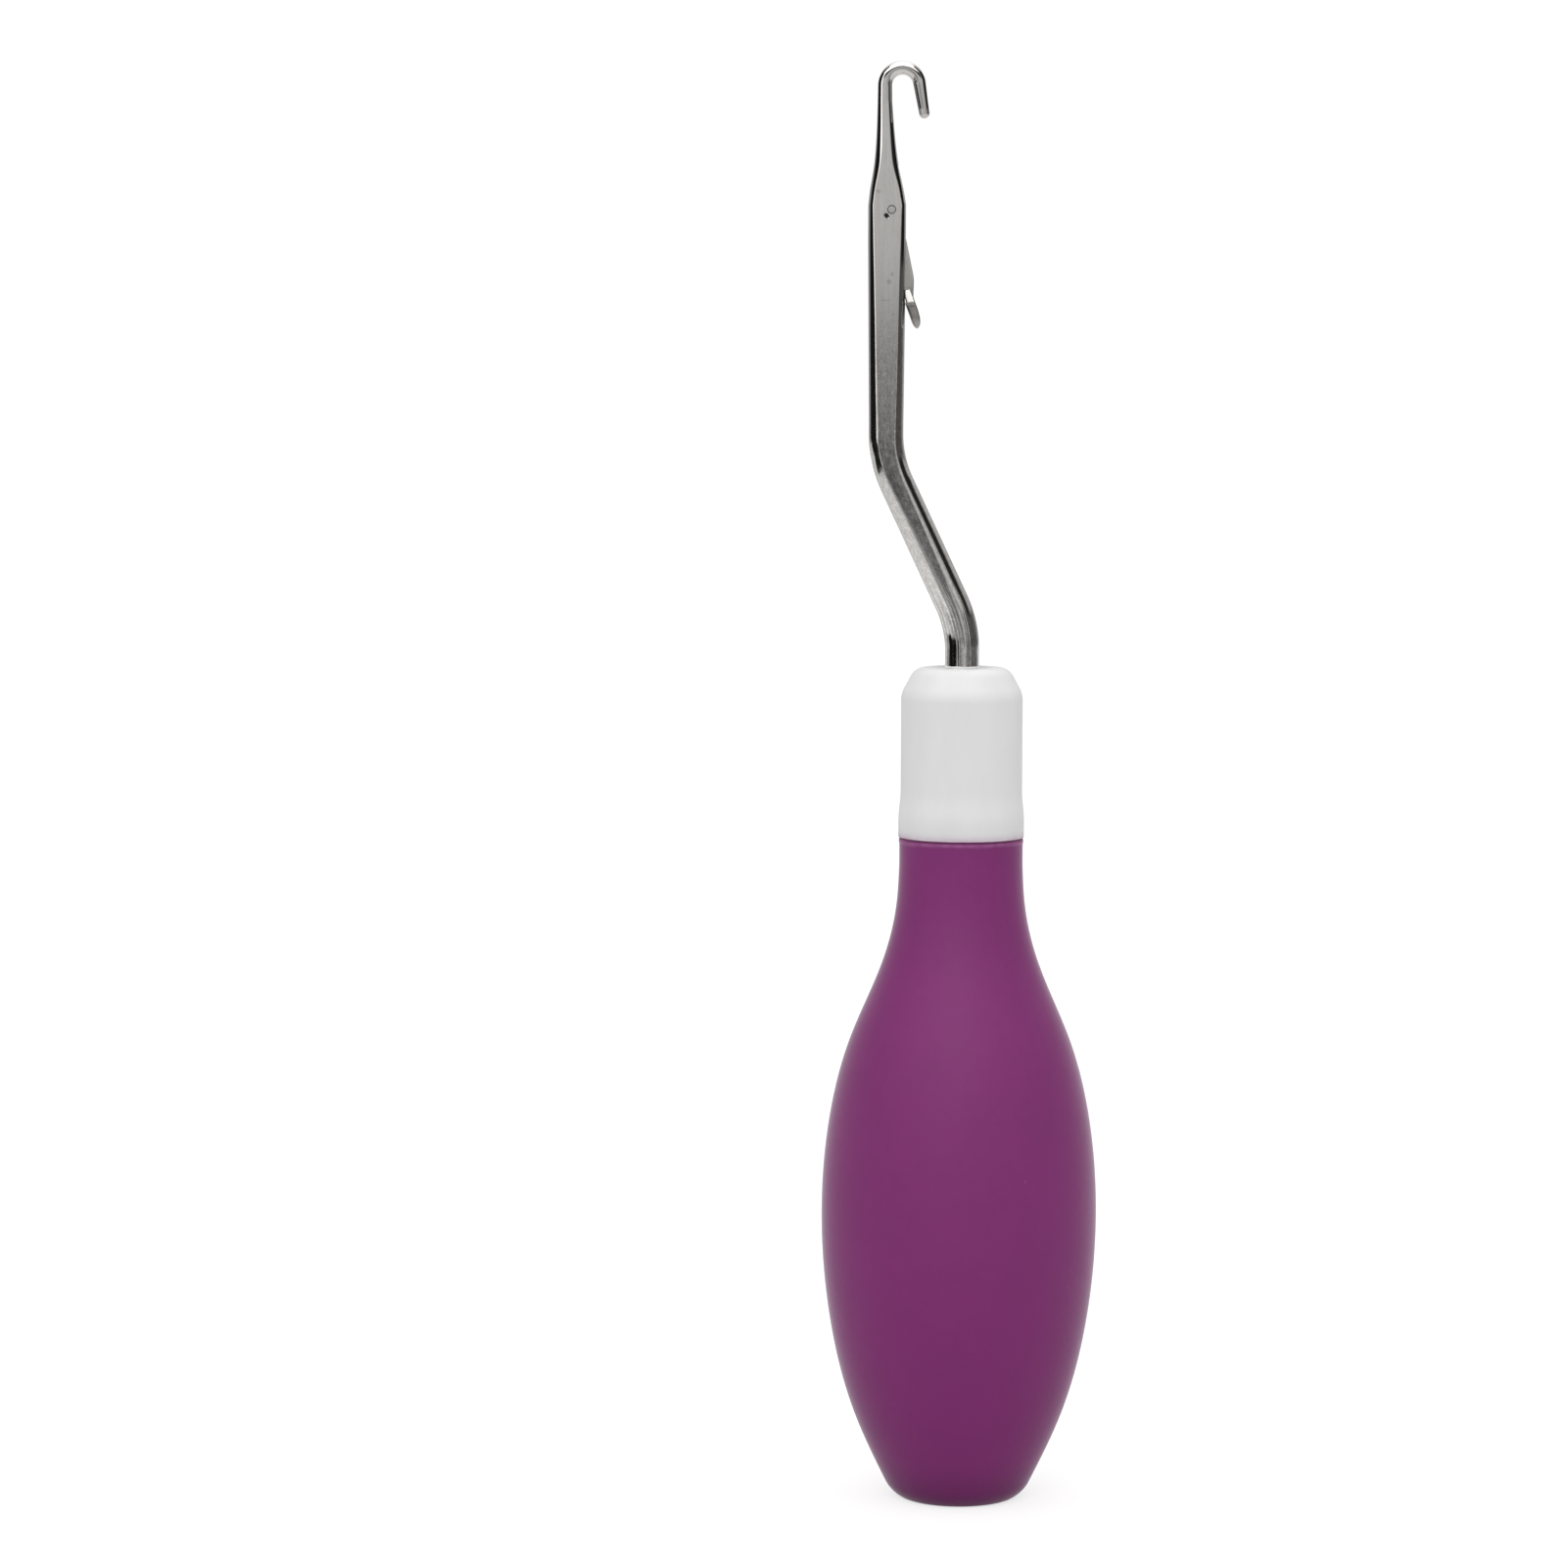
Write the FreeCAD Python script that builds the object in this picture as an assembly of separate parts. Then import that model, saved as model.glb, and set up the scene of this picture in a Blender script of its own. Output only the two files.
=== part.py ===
import FreeCAD, Part
import math
import os

os.makedirs("parts", exist_ok=True)

V = FreeCAD.Vector

# Latch hook tool standing on the flat base of its handle.
# Millimetres. Origin at the centre of the base, +Z up along the handle axis,
# the hook is offset to -X and its throat opens to +X.

# ---- grip shell -------------------------------------------------------------
grip_h = 76.85          # base to top rim
bulb_r = 15.92          # largest radius of the grip
belly_z = 33.0          # height of the largest radius
neck_r = 7.12           # radius of the straight neck
neck_z = 74.0           # where the curve runs into the straight neck
foot_r = 8.30           # radius just above the base corner
foot_z = 1.58           # height of the base corner
base_flat_r = 6.60      # radius of the flat the tool stands on
rim_round = 0.35        # round on the top rim
grip_wall = 2.00        # thickness of the soft shell

# ---- core -------------------------------------------------------------------
core_floor = 2.20       # underside of the core above the base
core_foot_r = 6.75      # radius of the core at its underside
bore_r = 4.40           # moulding bore, open at the base
bore_draft = 0.35       # how much narrower the bore is at its end
bore_depth = 32.0       # depth of the bore from the underside
spigot_r = 4.80         # spigot that carries the collar
spigot_h = 13.8         # height of the spigot above the neck
spigot_lead = 0.5       # lead-in chamfer on the spigot

# ---- end plug ---------------------------------------------------------------
plug_head_r = 5.30      # flush disc in the base
plug_gap = 0.05         # gap round the disc
plug_boss_h = 5.0       # length of the boss in the bore

# ---- collar -----------------------------------------------------------------
collar_gap = 0.12       # visible joint between grip and collar
collar_h = 19.63        # bottom edge to flat top
collar_r = 7.00         # plain body
skirt_step = 0.24       # how far the skirt stands out from the body
skirt_h = 2.7           # height of the skirt
skirt_run = 2.0         # length over which the skirt runs into the body
shoulder_h = 3.05       # height of the sloped shoulder
shoulder_in = 1.65      # how far the shoulder pulls in
collar_edge = 0.30      # round on the lower edge
shoulder_round = 2.2    # round where the shoulder begins
top_round = 1.8         # round at the top of the shoulder
spigot_end_gap = 0.20   # space above the spigot inside the collar

# ---- bead -------------------------------------------------------------------
bead_w = 0.50           # width of the bead round the bar
bead_h = 0.45           # height of the bead
bead_round = 0.30       # round on its outer edge

# ---- shank ------------------------------------------------------------------
bar_r = 1.98            # round bar
tang_l = 35.0           # length of the tang below the neck of the core
tang_tip = 0.5          # chamfer on the lower end of the tang
wing_up = 7.0           # underside of the pinched wings above the end of the tang
wing_h = 6.0            # height of the wings
wing_w = 6.4            # width across the wings
wing_t = 1.8            # thickness of the wings
wing_round = 0.6        # rounds along the wings
low_run = 4.8           # ferrule top to the corner of the lower bend
bend_rise = 18.9        # height between the corners of the two bends
offset = 8.88           # sideways offset of the head from the handle axis
bend_r = 13.5           # centreline radius of both bends
swell_run = 4.2         # corner of the upper bend to the start of the widening
swell_l = 20.5          # length of the widening run
head_r = 2.18           # half width of the head
head_l = 4.3            # length of the head at full width
taper_l = 11.7          # length of the taper down to the stem

# ---- flats ------------------------------------------------------------------
flat_out = 1.5          # the flats run out this far below the lower bend
flat_slant_y = 1.86     # half thickness midway along the slanted run
flat_high_y = 1.67      # half thickness on the upright run
flat_high_up = 5.5      # height of that place above the start of the widening
flat_pivot_y = 1.46     # half thickness at the pivot
flat_stem_y = 0.85      # half thickness at the stem

# ---- hook -------------------------------------------------------------------
stem_r = 0.84           # wire radius at the stem
stem_shift = 0.32       # the stem leans this far past the head's centre
stem_l = 1.85           # straight stem below the bend
crown_r = 1.97          # centreline radius of the hook
leg_r = 0.73            # wire radius where the leg starts
tip_r = 0.595           # wire radius at the point
leg_angle = 9.4         # outward slant of the leg, degrees
leg_l = 3.50            # length of the leg without the rounded point

# ---- pivot and latch --------------------------------------------------------
pivot_in = 0.48         # pivot lies this far towards the throat from the head's centre
pivot_up = 3.78         # height of the pivot above the start of the head
rivet_r = 0.50
pin_clear = 0.04        # running clearance of the latch on the rivet
side_clear = 0.05       # clearance of the latch to each cheek
floor_clear = 0.05      # clearance of the latch to the floor of the slot
latch_t = 0.80          # blade thickness
eye_r = 0.97            # radius of the latch eye
latch_angle = 11.8      # slant of the hanging blade from the vertical
closed_angle = 159.6    # blade direction when it lies against the hook point
blade_l = 7.6           # length of the straight outer edge
blade_bulge = 0.78      # outer edge of the blade midway down its curve
blade_end = 10.3        # where the blade runs into the spoon
blade_in = 0.46         # inner edge of the blade at that place
blade_out = 0.44        # outer edge of the blade at that place
spoon_angle = 20.2      # slant of the spoon when the latch hangs
spoon_back = 0.93       # how far the spoon begins before the blade ends
spoon_across = -0.23    # centre of the spoon there, off the line through the pivot
spoon_l = 4.45          # length of the spoon
spoon_t = 1.10          # depth of the spoon
spoon_w = 1.90          # width of the spoon
spoon_ramp = 1.30       # length over which the spoon widens
spoon_round = 0.22      # edge rounds of the spoon
seat_gap = 0.02         # space between the hanging spoon and the bar
cup_r = 0.62            # radius of the hollow in the spoon
cup_depth = 0.42        # depth of the hollow
cup_start = 0.45        # start of the hollow past the ramp
cup_rim = 0.75          # end of the hollow before the end of the spoon
slot_over = 2.0         # run-out of the slot past the blade
slot_reach = 6.2        # how far the slot follows the closed blade
dent_r = 0.26           # staking dent beside the rivet
dent_depth = 0.20
dent_off = 0.84         # distance of the dent from the rivet
dent_turn = 225.0       # direction of the dent from the rivet, degrees

# ---- derived ----------------------------------------------------------------
core_top = grip_h + collar_gap
core_neck_r = neck_r - grip_wall
collar_top = core_top + collar_h
skirt_r = collar_r + skirt_step
spigot_top = core_top + spigot_h
tang_z = core_top - tang_l
wing_z = tang_z + wing_up
bend_low_z = collar_top + low_run
bend_high_z = bend_low_z + bend_rise
swell_z = bend_high_z + swell_run
head_z = swell_z + swell_l
shoulder_z = head_z + head_l
stem_z = shoulder_z + taper_l
crown_z = stem_z + stem_l
head_x = -offset
stem_x = head_x - stem_shift
pivot_x = head_x + pivot_in
pivot_z = head_z + pivot_up
lean = math.atan2(offset, bend_rise)


def flat(x, z):
    """Point in the plane of symmetry."""
    return V(x, 0.0, z)


def rounded(points):
    """Closed outline from (x, z, radius) corners, each corner rounded by its radius."""
    edges = []
    n = len(points)
    ends = []
    for i in range(n):
        here = flat(points[i][0], points[i][1])
        before = flat(points[i - 1][0], points[i - 1][1])
        after = flat(points[(i + 1) % n][0], points[(i + 1) % n][1])
        radius = points[i][2]
        if radius <= 0.0:
            ends.append((here, None, here))
            continue
        a = (before - here).normalize()
        b = (after - here).normalize()
        half = a.getAngle(b) / 2.0
        cut = radius / math.tan(half)
        middle = (a + b).normalize()
        centre = here + middle * (radius / math.sin(half))
        ends.append((here + a * cut, centre - middle * radius, here + b * cut))
    for i in range(n):
        start, mid, stop = ends[i]
        if mid is not None:
            edges.append(Part.Arc(start, mid, stop).toShape())
        edges.append(Part.makeLine(stop, ends[(i + 1) % n][0]))
    return Part.Wire(edges)


def lathe(wire):
    """Solid of revolution about the handle axis."""
    return Part.Face(wire).revolve(V(0, 0, 0), V(0, 0, 1), 360)


def plate(wire, thickness):
    """Plate of the given thickness, centred on the plane of symmetry."""
    face = Part.Face(wire)
    face.translate(V(0, -thickness / 2.0, 0))
    return face.extrude(V(0, thickness, 0))


def side_curve(inset, low_r, low_z):
    """Side of the bowling-pin form, from the foot up to the neck."""
    rise = bulb_r - foot_r
    fall = bulb_r - neck_r
    upper = neck_z - belly_z
    stations = [
        (low_r, low_z),
        (foot_r + 0.492 * rise - inset, 0.297 * belly_z),
        (foot_r + 0.879 * rise - inset, 0.649 * belly_z),
        (bulb_r - inset, belly_z),
        (neck_r + 0.901 * fall - inset, belly_z + 0.278 * upper),
        (neck_r + 0.634 * fall - inset, belly_z + 0.502 * upper),
        (neck_r + 0.208 * fall - inset, belly_z + 0.724 * upper),
        (neck_r + 0.030 * fall - inset, belly_z + 0.890 * upper),
        (neck_r - inset, neck_z),
    ]
    curve = Part.BSplineCurve()
    curve.interpolate([flat(r, z) for r, z in stations])
    return curve.toShape()


def make_grip_shell():
    hole_r = plug_head_r + plug_gap
    corner = Part.Arc(
        flat(base_flat_r, 0),
        flat(base_flat_r + 0.53 * (foot_r - base_flat_r), 0.39 * foot_z),
        flat(foot_r, foot_z),
    ).toShape()
    inset = 0.3 * rim_round
    rim = Part.Arc(
        flat(neck_r, grip_h - rim_round),
        flat(neck_r - inset, grip_h - inset),
        flat(neck_r - rim_round, grip_h),
    ).toShape()
    edges = [
        Part.makeLine(flat(hole_r, 0), flat(base_flat_r, 0)),
        corner,
        side_curve(0.0, foot_r, foot_z),
        Part.makeLine(flat(neck_r, neck_z), flat(neck_r, grip_h - rim_round)),
        rim,
        Part.makeLine(flat(neck_r - rim_round, grip_h), flat(core_neck_r, grip_h)),
        Part.makeLine(flat(core_neck_r, grip_h), flat(core_neck_r, neck_z)),
        side_curve(grip_wall, core_foot_r, core_floor),
        Part.makeLine(flat(core_foot_r, core_floor), flat(hole_r, core_floor)),
        Part.makeLine(flat(hole_r, core_floor), flat(hole_r, 0)),
    ]
    return lathe(Part.Wire(edges))


def make_handle_core(tang):
    bore_top = core_floor + bore_depth
    edges = [
        Part.makeLine(flat(bore_r, core_floor), flat(core_foot_r, core_floor)),
        side_curve(grip_wall, core_foot_r, core_floor),
        Part.makeLine(flat(core_neck_r, neck_z), flat(core_neck_r, core_top)),
        Part.makeLine(flat(core_neck_r, core_top), flat(spigot_r, core_top)),
        Part.makeLine(flat(spigot_r, core_top), flat(spigot_r, spigot_top - spigot_lead)),
        Part.makeLine(flat(spigot_r, spigot_top - spigot_lead),
                      flat(spigot_r - spigot_lead, spigot_top)),
        Part.makeLine(flat(spigot_r - spigot_lead, spigot_top), flat(0, spigot_top)),
        Part.makeLine(flat(0, spigot_top), flat(0, bore_top)),
        Part.makeLine(flat(0, bore_top), flat(bore_r - bore_draft, bore_top)),
        Part.makeLine(flat(bore_r - bore_draft, bore_top),
                      flat(bore_r, core_floor + plug_boss_h)),
        Part.makeLine(flat(bore_r, core_floor + plug_boss_h), flat(bore_r, core_floor)),
    ]
    return lathe(Part.Wire(edges)).cut(tang)


def make_end_plug():
    boss_top = core_floor + plug_boss_h
    return lathe(rounded([
        (0, 0, 0),
        (plug_head_r, 0, 0.3),
        (plug_head_r, core_floor, 0),
        (bore_r, core_floor, 0),
        (bore_r, boss_top, 0.4),
        (0, boss_top, 0),
    ]))


def make_collar():
    cup_top = spigot_top + spigot_end_gap
    run_z = core_top + skirt_h + skirt_run
    low_z = collar_top - shoulder_h
    return lathe(rounded([
        (spigot_r, core_top, 0),
        (skirt_r, core_top, collar_edge),
        (skirt_r, core_top + skirt_h, 3.0),
        (collar_r, run_z, 3.0),
        (collar_r, low_z, shoulder_round),
        (collar_r - shoulder_in, collar_top, top_round),
        (bar_r, collar_top, 0),
        (bar_r, cup_top, 0),
        (spigot_r, cup_top, 0),
    ]))


def make_shank_bead():
    return lathe(rounded([
        (bar_r, collar_top, 0),
        (bar_r + bead_w, collar_top, 0),
        (bar_r + bead_w, collar_top + bead_h, bead_round),
        (bar_r, collar_top + bead_h, 0),
    ]))


def bar_path():
    """Centreline of the bar from the collar to the start of the widening head."""
    cut = bend_r * math.tan(lean / 2.0)
    low = flat(0, bend_low_z)
    high = flat(head_x, bend_high_z)
    along = (high - low).normalize()
    up = V(0, 0, 1)
    a0 = low - up * cut
    a1 = low + along * cut
    b0 = high - along * cut
    b1 = high + up * cut
    low_mid = a0 + V(-bend_r * (1 - math.cos(lean / 2)), 0, bend_r * math.sin(lean / 2))
    high_mid = b1 + V(bend_r * (1 - math.cos(lean / 2)), 0, -bend_r * math.sin(lean / 2))
    return Part.Wire([
        Part.makeLine(flat(0, collar_top), a0),
        Part.Arc(a0, low_mid, a1).toShape(),
        Part.makeLine(a1, b0),
        Part.Arc(b0, high_mid, b1).toShape(),
        Part.makeLine(b1, flat(head_x, swell_z)),
    ])


def ring(centre, normal, radius):
    return Part.Wire([Part.makeCircle(radius, centre, normal)])


def make_tang():
    """Part of the bar that the core is moulded round, with its pinched wings."""
    low = tang_z + tang_tip
    tip = Part.makeCone(bar_r - tang_tip, bar_r, tang_tip, flat(0, tang_z))
    bar = Part.makeCylinder(bar_r, collar_top - low, flat(0, low))
    return bar.fuse([tip, make_wings()]).removeSplitter()


def make_wings():
    wings = Part.makeBox(wing_w, wing_t, wing_h, V(-wing_w / 2, -wing_t / 2, wing_z))
    upright = [e for e in wings.Edges if abs(e.tangentAt(e.FirstParameter).y) > 0.9]
    return wings.makeFillet(wing_round, upright)


def make_head():
    """Widening run, straight head and the taper down to the stem."""
    swell = Part.makeCone(bar_r, head_r, swell_l, flat(head_x, swell_z))
    block = Part.makeCylinder(head_r, head_l, flat(head_x, head_z))
    drop = head_r - stem_r
    shape = [(0.0, 1.0), (0.12, 0.86), (0.39, 0.425), (0.70, 0.145), (1.0, 0.0)]
    rings = []
    for share, wide in shape:
        centre = flat(head_x - stem_shift * share, shoulder_z + taper_l * share)
        rings.append(ring(centre, V(0, 0, 1), stem_r + drop * wide))
    taper = Part.makeLoft(rings, True)
    return swell.fuse([block, taper])


def make_hook():
    """Bent wire from the stem over the crown to the rounded point."""
    slant = math.radians(leg_angle)
    centre = flat(stem_x + crown_r, crown_z)
    start = flat(stem_x, stem_z)
    side = flat(stem_x, crown_z)
    half = (math.pi + slant) / 2.0
    middle = centre + V(crown_r * math.cos(half), 0, crown_r * math.sin(half))
    stop = centre + V(crown_r * math.cos(slant), 0, crown_r * math.sin(slant))
    down = V(math.sin(slant), 0, -math.cos(slant))
    path = Part.Wire([Part.makeLine(start, side), Part.Arc(side, middle, stop).toShape()])
    sections = [ring(start, V(0, 0, 1), stem_r), ring(stop, down, leg_r)]
    bend = path.makePipeShell(sections, True, False)
    leg = Part.makeCone(leg_r, tip_r, leg_l, stop, down)
    point = Part.makeSphere(tip_r, stop + down * leg_l)
    return bend.fuse([leg, point])


def make_flat_cutters():
    """Front and back cuts that leave the two long flats."""
    reach = 3.0 * head_r
    low_z = bend_low_z - flat_out
    a = V(0, -bar_r - 0.01, low_z)
    b = V(0, -flat_stem_y, stem_z)
    outer_a = V(0, -reach, low_z)
    outer_b = V(0, -reach, stem_z)
    curve = Part.BSplineCurve()
    curve.interpolate([
        a,
        V(0, -flat_slant_y, bend_low_z + 0.56 * bend_rise),
        V(0, -flat_high_y, swell_z + flat_high_up),
        V(0, -flat_pivot_y, pivot_z),
        b,
    ])
    wire = Part.Wire([
        curve.toShape(),
        Part.makeLine(b, outer_b),
        Part.makeLine(outer_b, outer_a),
        Part.makeLine(outer_a, a),
    ])
    face = Part.Face(wire)
    width = offset + 4.0 * head_r
    face.translate(V(-width, 0, 0))
    front = face.extrude(V(2 * width, 0, 0))
    back = front.mirror(V(0, 0, 0), V(0, 1, 0))
    return [front, back]


def from_pivot(along, across, angle):
    """Point given along and across the latch when it lies at an angle."""
    t = math.radians(angle)
    x = pivot_x + along * math.sin(t) + across * math.cos(t)
    z = pivot_z - along * math.cos(t) + across * math.sin(t)
    return flat(x, z)


def make_slot():
    """Slot for the latch blade, open to the throat from the hanging to the closed place."""
    r = eye_r + floor_clear
    low_a = from_pivot(0, -r, latch_angle)
    low_b = from_pivot(blade_end + slot_over, -(blade_in + floor_clear), latch_angle)
    high_a = from_pivot(0, r, closed_angle)
    high_b = from_pivot(slot_reach, r, closed_angle)
    far = 4.0 * head_r
    mid = from_pivot(0, -r, (latch_angle + closed_angle - 180.0) / 2.0)
    wire = Part.Wire([
        Part.makeLine(low_b, low_a),
        Part.Arc(low_a, mid, high_a).toShape(),
        Part.makeLine(high_a, high_b),
        Part.makeLine(high_b, flat(head_x + far, high_b.z)),
        Part.makeLine(flat(head_x + far, high_b.z), flat(head_x + far, low_b.z)),
        Part.makeLine(flat(head_x + far, low_b.z), low_b),
    ])
    return plate(wire, latch_t + 2 * side_clear)


def make_dent():
    """Staking dent in the front flat beside the rivet."""
    turn = math.radians(dent_turn)
    at = V(pivot_x + dent_off * math.cos(turn), -flat_pivot_y - 0.1,
           pivot_z + dent_off * math.sin(turn))
    mouth = dent_r * (dent_depth + 0.1) / dent_depth
    return Part.makeCone(mouth, 0.05, dent_depth + 0.1, at, V(0, 1, 0))


def make_rivet():
    length = 2 * flat_pivot_y
    pin = Part.makeCylinder(rivet_r, length, V(pivot_x, -length / 2, pivot_z), V(0, 1, 0))
    return pin


def make_hook_shank(tang):
    bar = bar_path().makePipeShell([ring(flat(0, collar_top), V(0, 0, 1), bar_r)], True, False)
    shank = bar.fuse([tang, make_head(), make_hook()]).removeSplitter()
    for cutter in make_flat_cutters():
        shank = shank.cut(cutter)
    shank = shank.cut(make_slot())
    hole = Part.makeCylinder(rivet_r, 4 * head_r, V(pivot_x, -2 * head_r, pivot_z), V(0, 1, 0))
    return shank.cut(hole).cut(make_dent())


def make_spoon():
    """Widened end of the latch with its hollow on the outer face."""
    t = math.radians(spoon_angle)
    along = V(math.sin(t), 0, -math.cos(t))
    out = V(math.cos(t), 0, math.sin(t))
    start = from_pivot(blade_end - spoon_back, spoon_across, latch_angle)
    inner = start - out * (spoon_t / 2)

    def at(run, side):
        return inner + along * run + V(0, side, 0)

    w = spoon_w / 2
    n = latch_t / 2
    bend = spoon_l - w
    wire = Part.Wire([
        Part.makeLine(at(0, -n), at(spoon_ramp, -w)),
        Part.makeLine(at(spoon_ramp, -w), at(bend, -w)),
        Part.Arc(at(bend, -w), at(spoon_l, 0), at(bend, w)).toShape(),
        Part.makeLine(at(bend, w), at(spoon_ramp, w)),
        Part.makeLine(at(spoon_ramp, w), at(0, n)),
        Part.makeLine(at(0, n), at(0, -n)),
    ])
    body = Part.Face(wire).extrude(out * spoon_t)
    rim = [e for e in body.Edges if (e.CenterOfMass - start).dot(along) > 0.9 * spoon_ramp
           and abs(abs((e.CenterOfMass - start).dot(out)) - spoon_t / 2) < 0.01 * spoon_t]
    body = body.makeFillet(spoon_round, rim)
    axis = start + out * (spoon_t / 2 - cup_depth + cup_r)
    first = axis + along * (spoon_ramp + cup_start)
    last = axis + along * (spoon_l - cup_rim)
    trough = Part.makeCylinder(cup_r, first.distanceToPoint(last), first, along)
    trough = trough.fuse([Part.makeSphere(cup_r, first), Part.makeSphere(cup_r, last)])
    seat_x = head_x + bar_r + 0.75 * (head_r - bar_r) + seat_gap
    seat = Part.makeBox(4 * spoon_l, 4 * spoon_w, 4 * spoon_l,
                        V(seat_x - 4 * spoon_l, -2 * spoon_w, start.z - 3 * spoon_l))
    return body.cut(trough).cut(seat)


def make_latch():
    """Latch in its hanging place, with the eye on the rivet."""
    p = [
        from_pivot(0, eye_r, latch_angle),
        from_pivot(-eye_r, 0, latch_angle),
        from_pivot(0, -eye_r, latch_angle),
        from_pivot(blade_end, -blade_in, latch_angle),
        from_pivot(blade_end, blade_out, latch_angle),
        from_pivot((blade_l + blade_end) / 2, blade_bulge, latch_angle),
        from_pivot(blade_l, eye_r, latch_angle),
    ]
    wire = Part.Wire([
        Part.Arc(p[0], p[1], p[2]).toShape(),
        Part.makeLine(p[2], p[3]),
        Part.makeLine(p[3], p[4]),
        Part.Arc(p[4], p[5], p[6]).toShape(),
        Part.makeLine(p[6], p[0]),
    ])
    blade = plate(wire, latch_t)
    latch = blade.fuse(make_spoon()).removeSplitter()
    hole_r = rivet_r + pin_clear
    hole = Part.makeCylinder(hole_r, 4 * head_r, V(pivot_x, -2 * head_r, pivot_z), V(0, 1, 0))
    return latch.cut(hole)


def save(name, shape):
    solids = shape.Solids
    if len(solids) != 1 or not shape.isValid():
        print("check", name, len(solids), shape.isValid())
    solids[0].exportStep("parts/" + name + ".step")


tang = make_tang()
rivet = make_rivet()

save("hook_shank", make_hook_shank(tang))
save("latch", make_latch())
save("latch_rivet", rivet)
save("collar", make_collar())
save("shank_bead", make_shank_bead())
save("handle_core", make_handle_core(tang))
save("grip_shell", make_grip_shell())
save("end_plug", make_end_plug())
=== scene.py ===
import bpy
import bmesh
import math
from mathutils import Matrix, Vector
from mathutils.kdtree import KDTree


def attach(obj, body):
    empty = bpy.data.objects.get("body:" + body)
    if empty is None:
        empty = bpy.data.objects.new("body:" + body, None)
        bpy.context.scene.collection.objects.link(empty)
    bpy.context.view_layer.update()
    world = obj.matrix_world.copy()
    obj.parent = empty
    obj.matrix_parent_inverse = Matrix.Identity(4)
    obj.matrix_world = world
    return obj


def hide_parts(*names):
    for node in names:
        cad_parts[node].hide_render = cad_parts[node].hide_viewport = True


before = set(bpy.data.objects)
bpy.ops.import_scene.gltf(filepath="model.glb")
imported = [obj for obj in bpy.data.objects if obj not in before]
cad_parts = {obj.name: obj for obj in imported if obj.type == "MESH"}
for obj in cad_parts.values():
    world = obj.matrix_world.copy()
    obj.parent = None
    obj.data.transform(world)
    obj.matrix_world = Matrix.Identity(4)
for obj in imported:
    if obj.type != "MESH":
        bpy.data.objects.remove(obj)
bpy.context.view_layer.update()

MM = 0.001


# ---------------------------------------------------------------- camera
def make_camera():
    data = bpy.data.cameras.new("camera")
    data.sensor_width = 36.0
    data.sensor_fit = "HORIZONTAL"
    data.lens = 111.63
    data.clip_start = 0.01
    data.clip_end = 50.0
    cam = bpy.data.objects.new("camera", data)
    tilt = math.radians(5.0)
    reach = 0.560
    target = Vector((-0.02043, 0.0, 0.08304))
    cam.matrix_world = (
        Matrix.Translation(target + Vector((0, -reach * math.cos(tilt), reach * math.sin(tilt))))
        @ Matrix.Rotation(math.pi / 2 - tilt, 4, "X")
        @ Matrix.Rotation(math.radians(0.19), 4, "Z")
    )
    bpy.context.scene.collection.objects.link(cam)
    bpy.context.scene.camera = cam


make_camera()


# ---------------------------------------------------------------- helpers
def new_object(name, verts, faces, smooth=True):
    mesh = bpy.data.meshes.new(name)
    mesh.from_pydata([tuple(v) for v in verts], [], faces)
    mesh.update()
    bm = bmesh.new()
    bm.from_mesh(mesh)
    bmesh.ops.recalc_face_normals(bm, faces=bm.faces)
    bm.to_mesh(mesh)
    bm.free()
    mesh.polygons.foreach_set("use_smooth", [smooth] * len(mesh.polygons))
    obj = bpy.data.objects.new(name, mesh)
    bpy.context.scene.collection.objects.link(obj)
    return obj


def lathe(name, profile, seg=192):
    """Closed solid of revolution about the Z axis from (r, z) points in mm."""
    verts, faces, rows = [], [], []
    for r, z in profile:
        if r < 1e-6:
            rows.append([len(verts)])
            verts.append((0, 0, z * MM))
        else:
            rows.append(list(range(len(verts), len(verts) + seg)))
            for i in range(seg):
                a = 2 * math.pi * i / seg
                verts.append((r * math.cos(a) * MM, r * math.sin(a) * MM, z * MM))
    for a, b in zip(rows, rows[1:]):
        if len(a) == 1 and len(b) == 1:
            continue
        for i in range(seg):
            j = (i + 1) % seg
            if len(a) == 1:
                faces.append((a[0], b[i], b[j]))
            elif len(b) == 1:
                faces.append((a[i], b[0], a[j]))
            else:
                faces.append((a[i], b[i], b[j], a[j]))
    if len(rows[0]) > 1 and len(rows[-1]) > 1:
        for i in range(seg):
            j = (i + 1) % seg
            faces.append((rows[-1][i], rows[0][i], rows[0][j], rows[-1][j]))
    return new_object(name, verts, faces)


def round_corners(points, steps=6):
    """Open (r, z) outline whose corners (r, z, radius) are rounded."""
    out = []
    for i, (r, z, rad) in enumerate(points):
        if rad <= 0 or i in (0, len(points) - 1):
            out.append((r, z))
            continue
        here = Vector((r, z))
        a = (Vector(points[i - 1][:2]) - here).normalized()
        b = (Vector(points[i + 1][:2]) - here).normalized()
        half = a.angle(b) / 2
        cut = rad / math.tan(half)
        centre = here + (a + b).normalized() * (rad / math.sin(half))
        p0, p1 = here + a * cut - centre, here + b * cut - centre
        turn = p0.angle_signed(p1)
        for k in range(steps + 1):
            q = p0.copy()
            q.rotate(Matrix.Rotation(-turn * k / steps, 2))
            out.append(tuple(centre + q))
    return out


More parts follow.
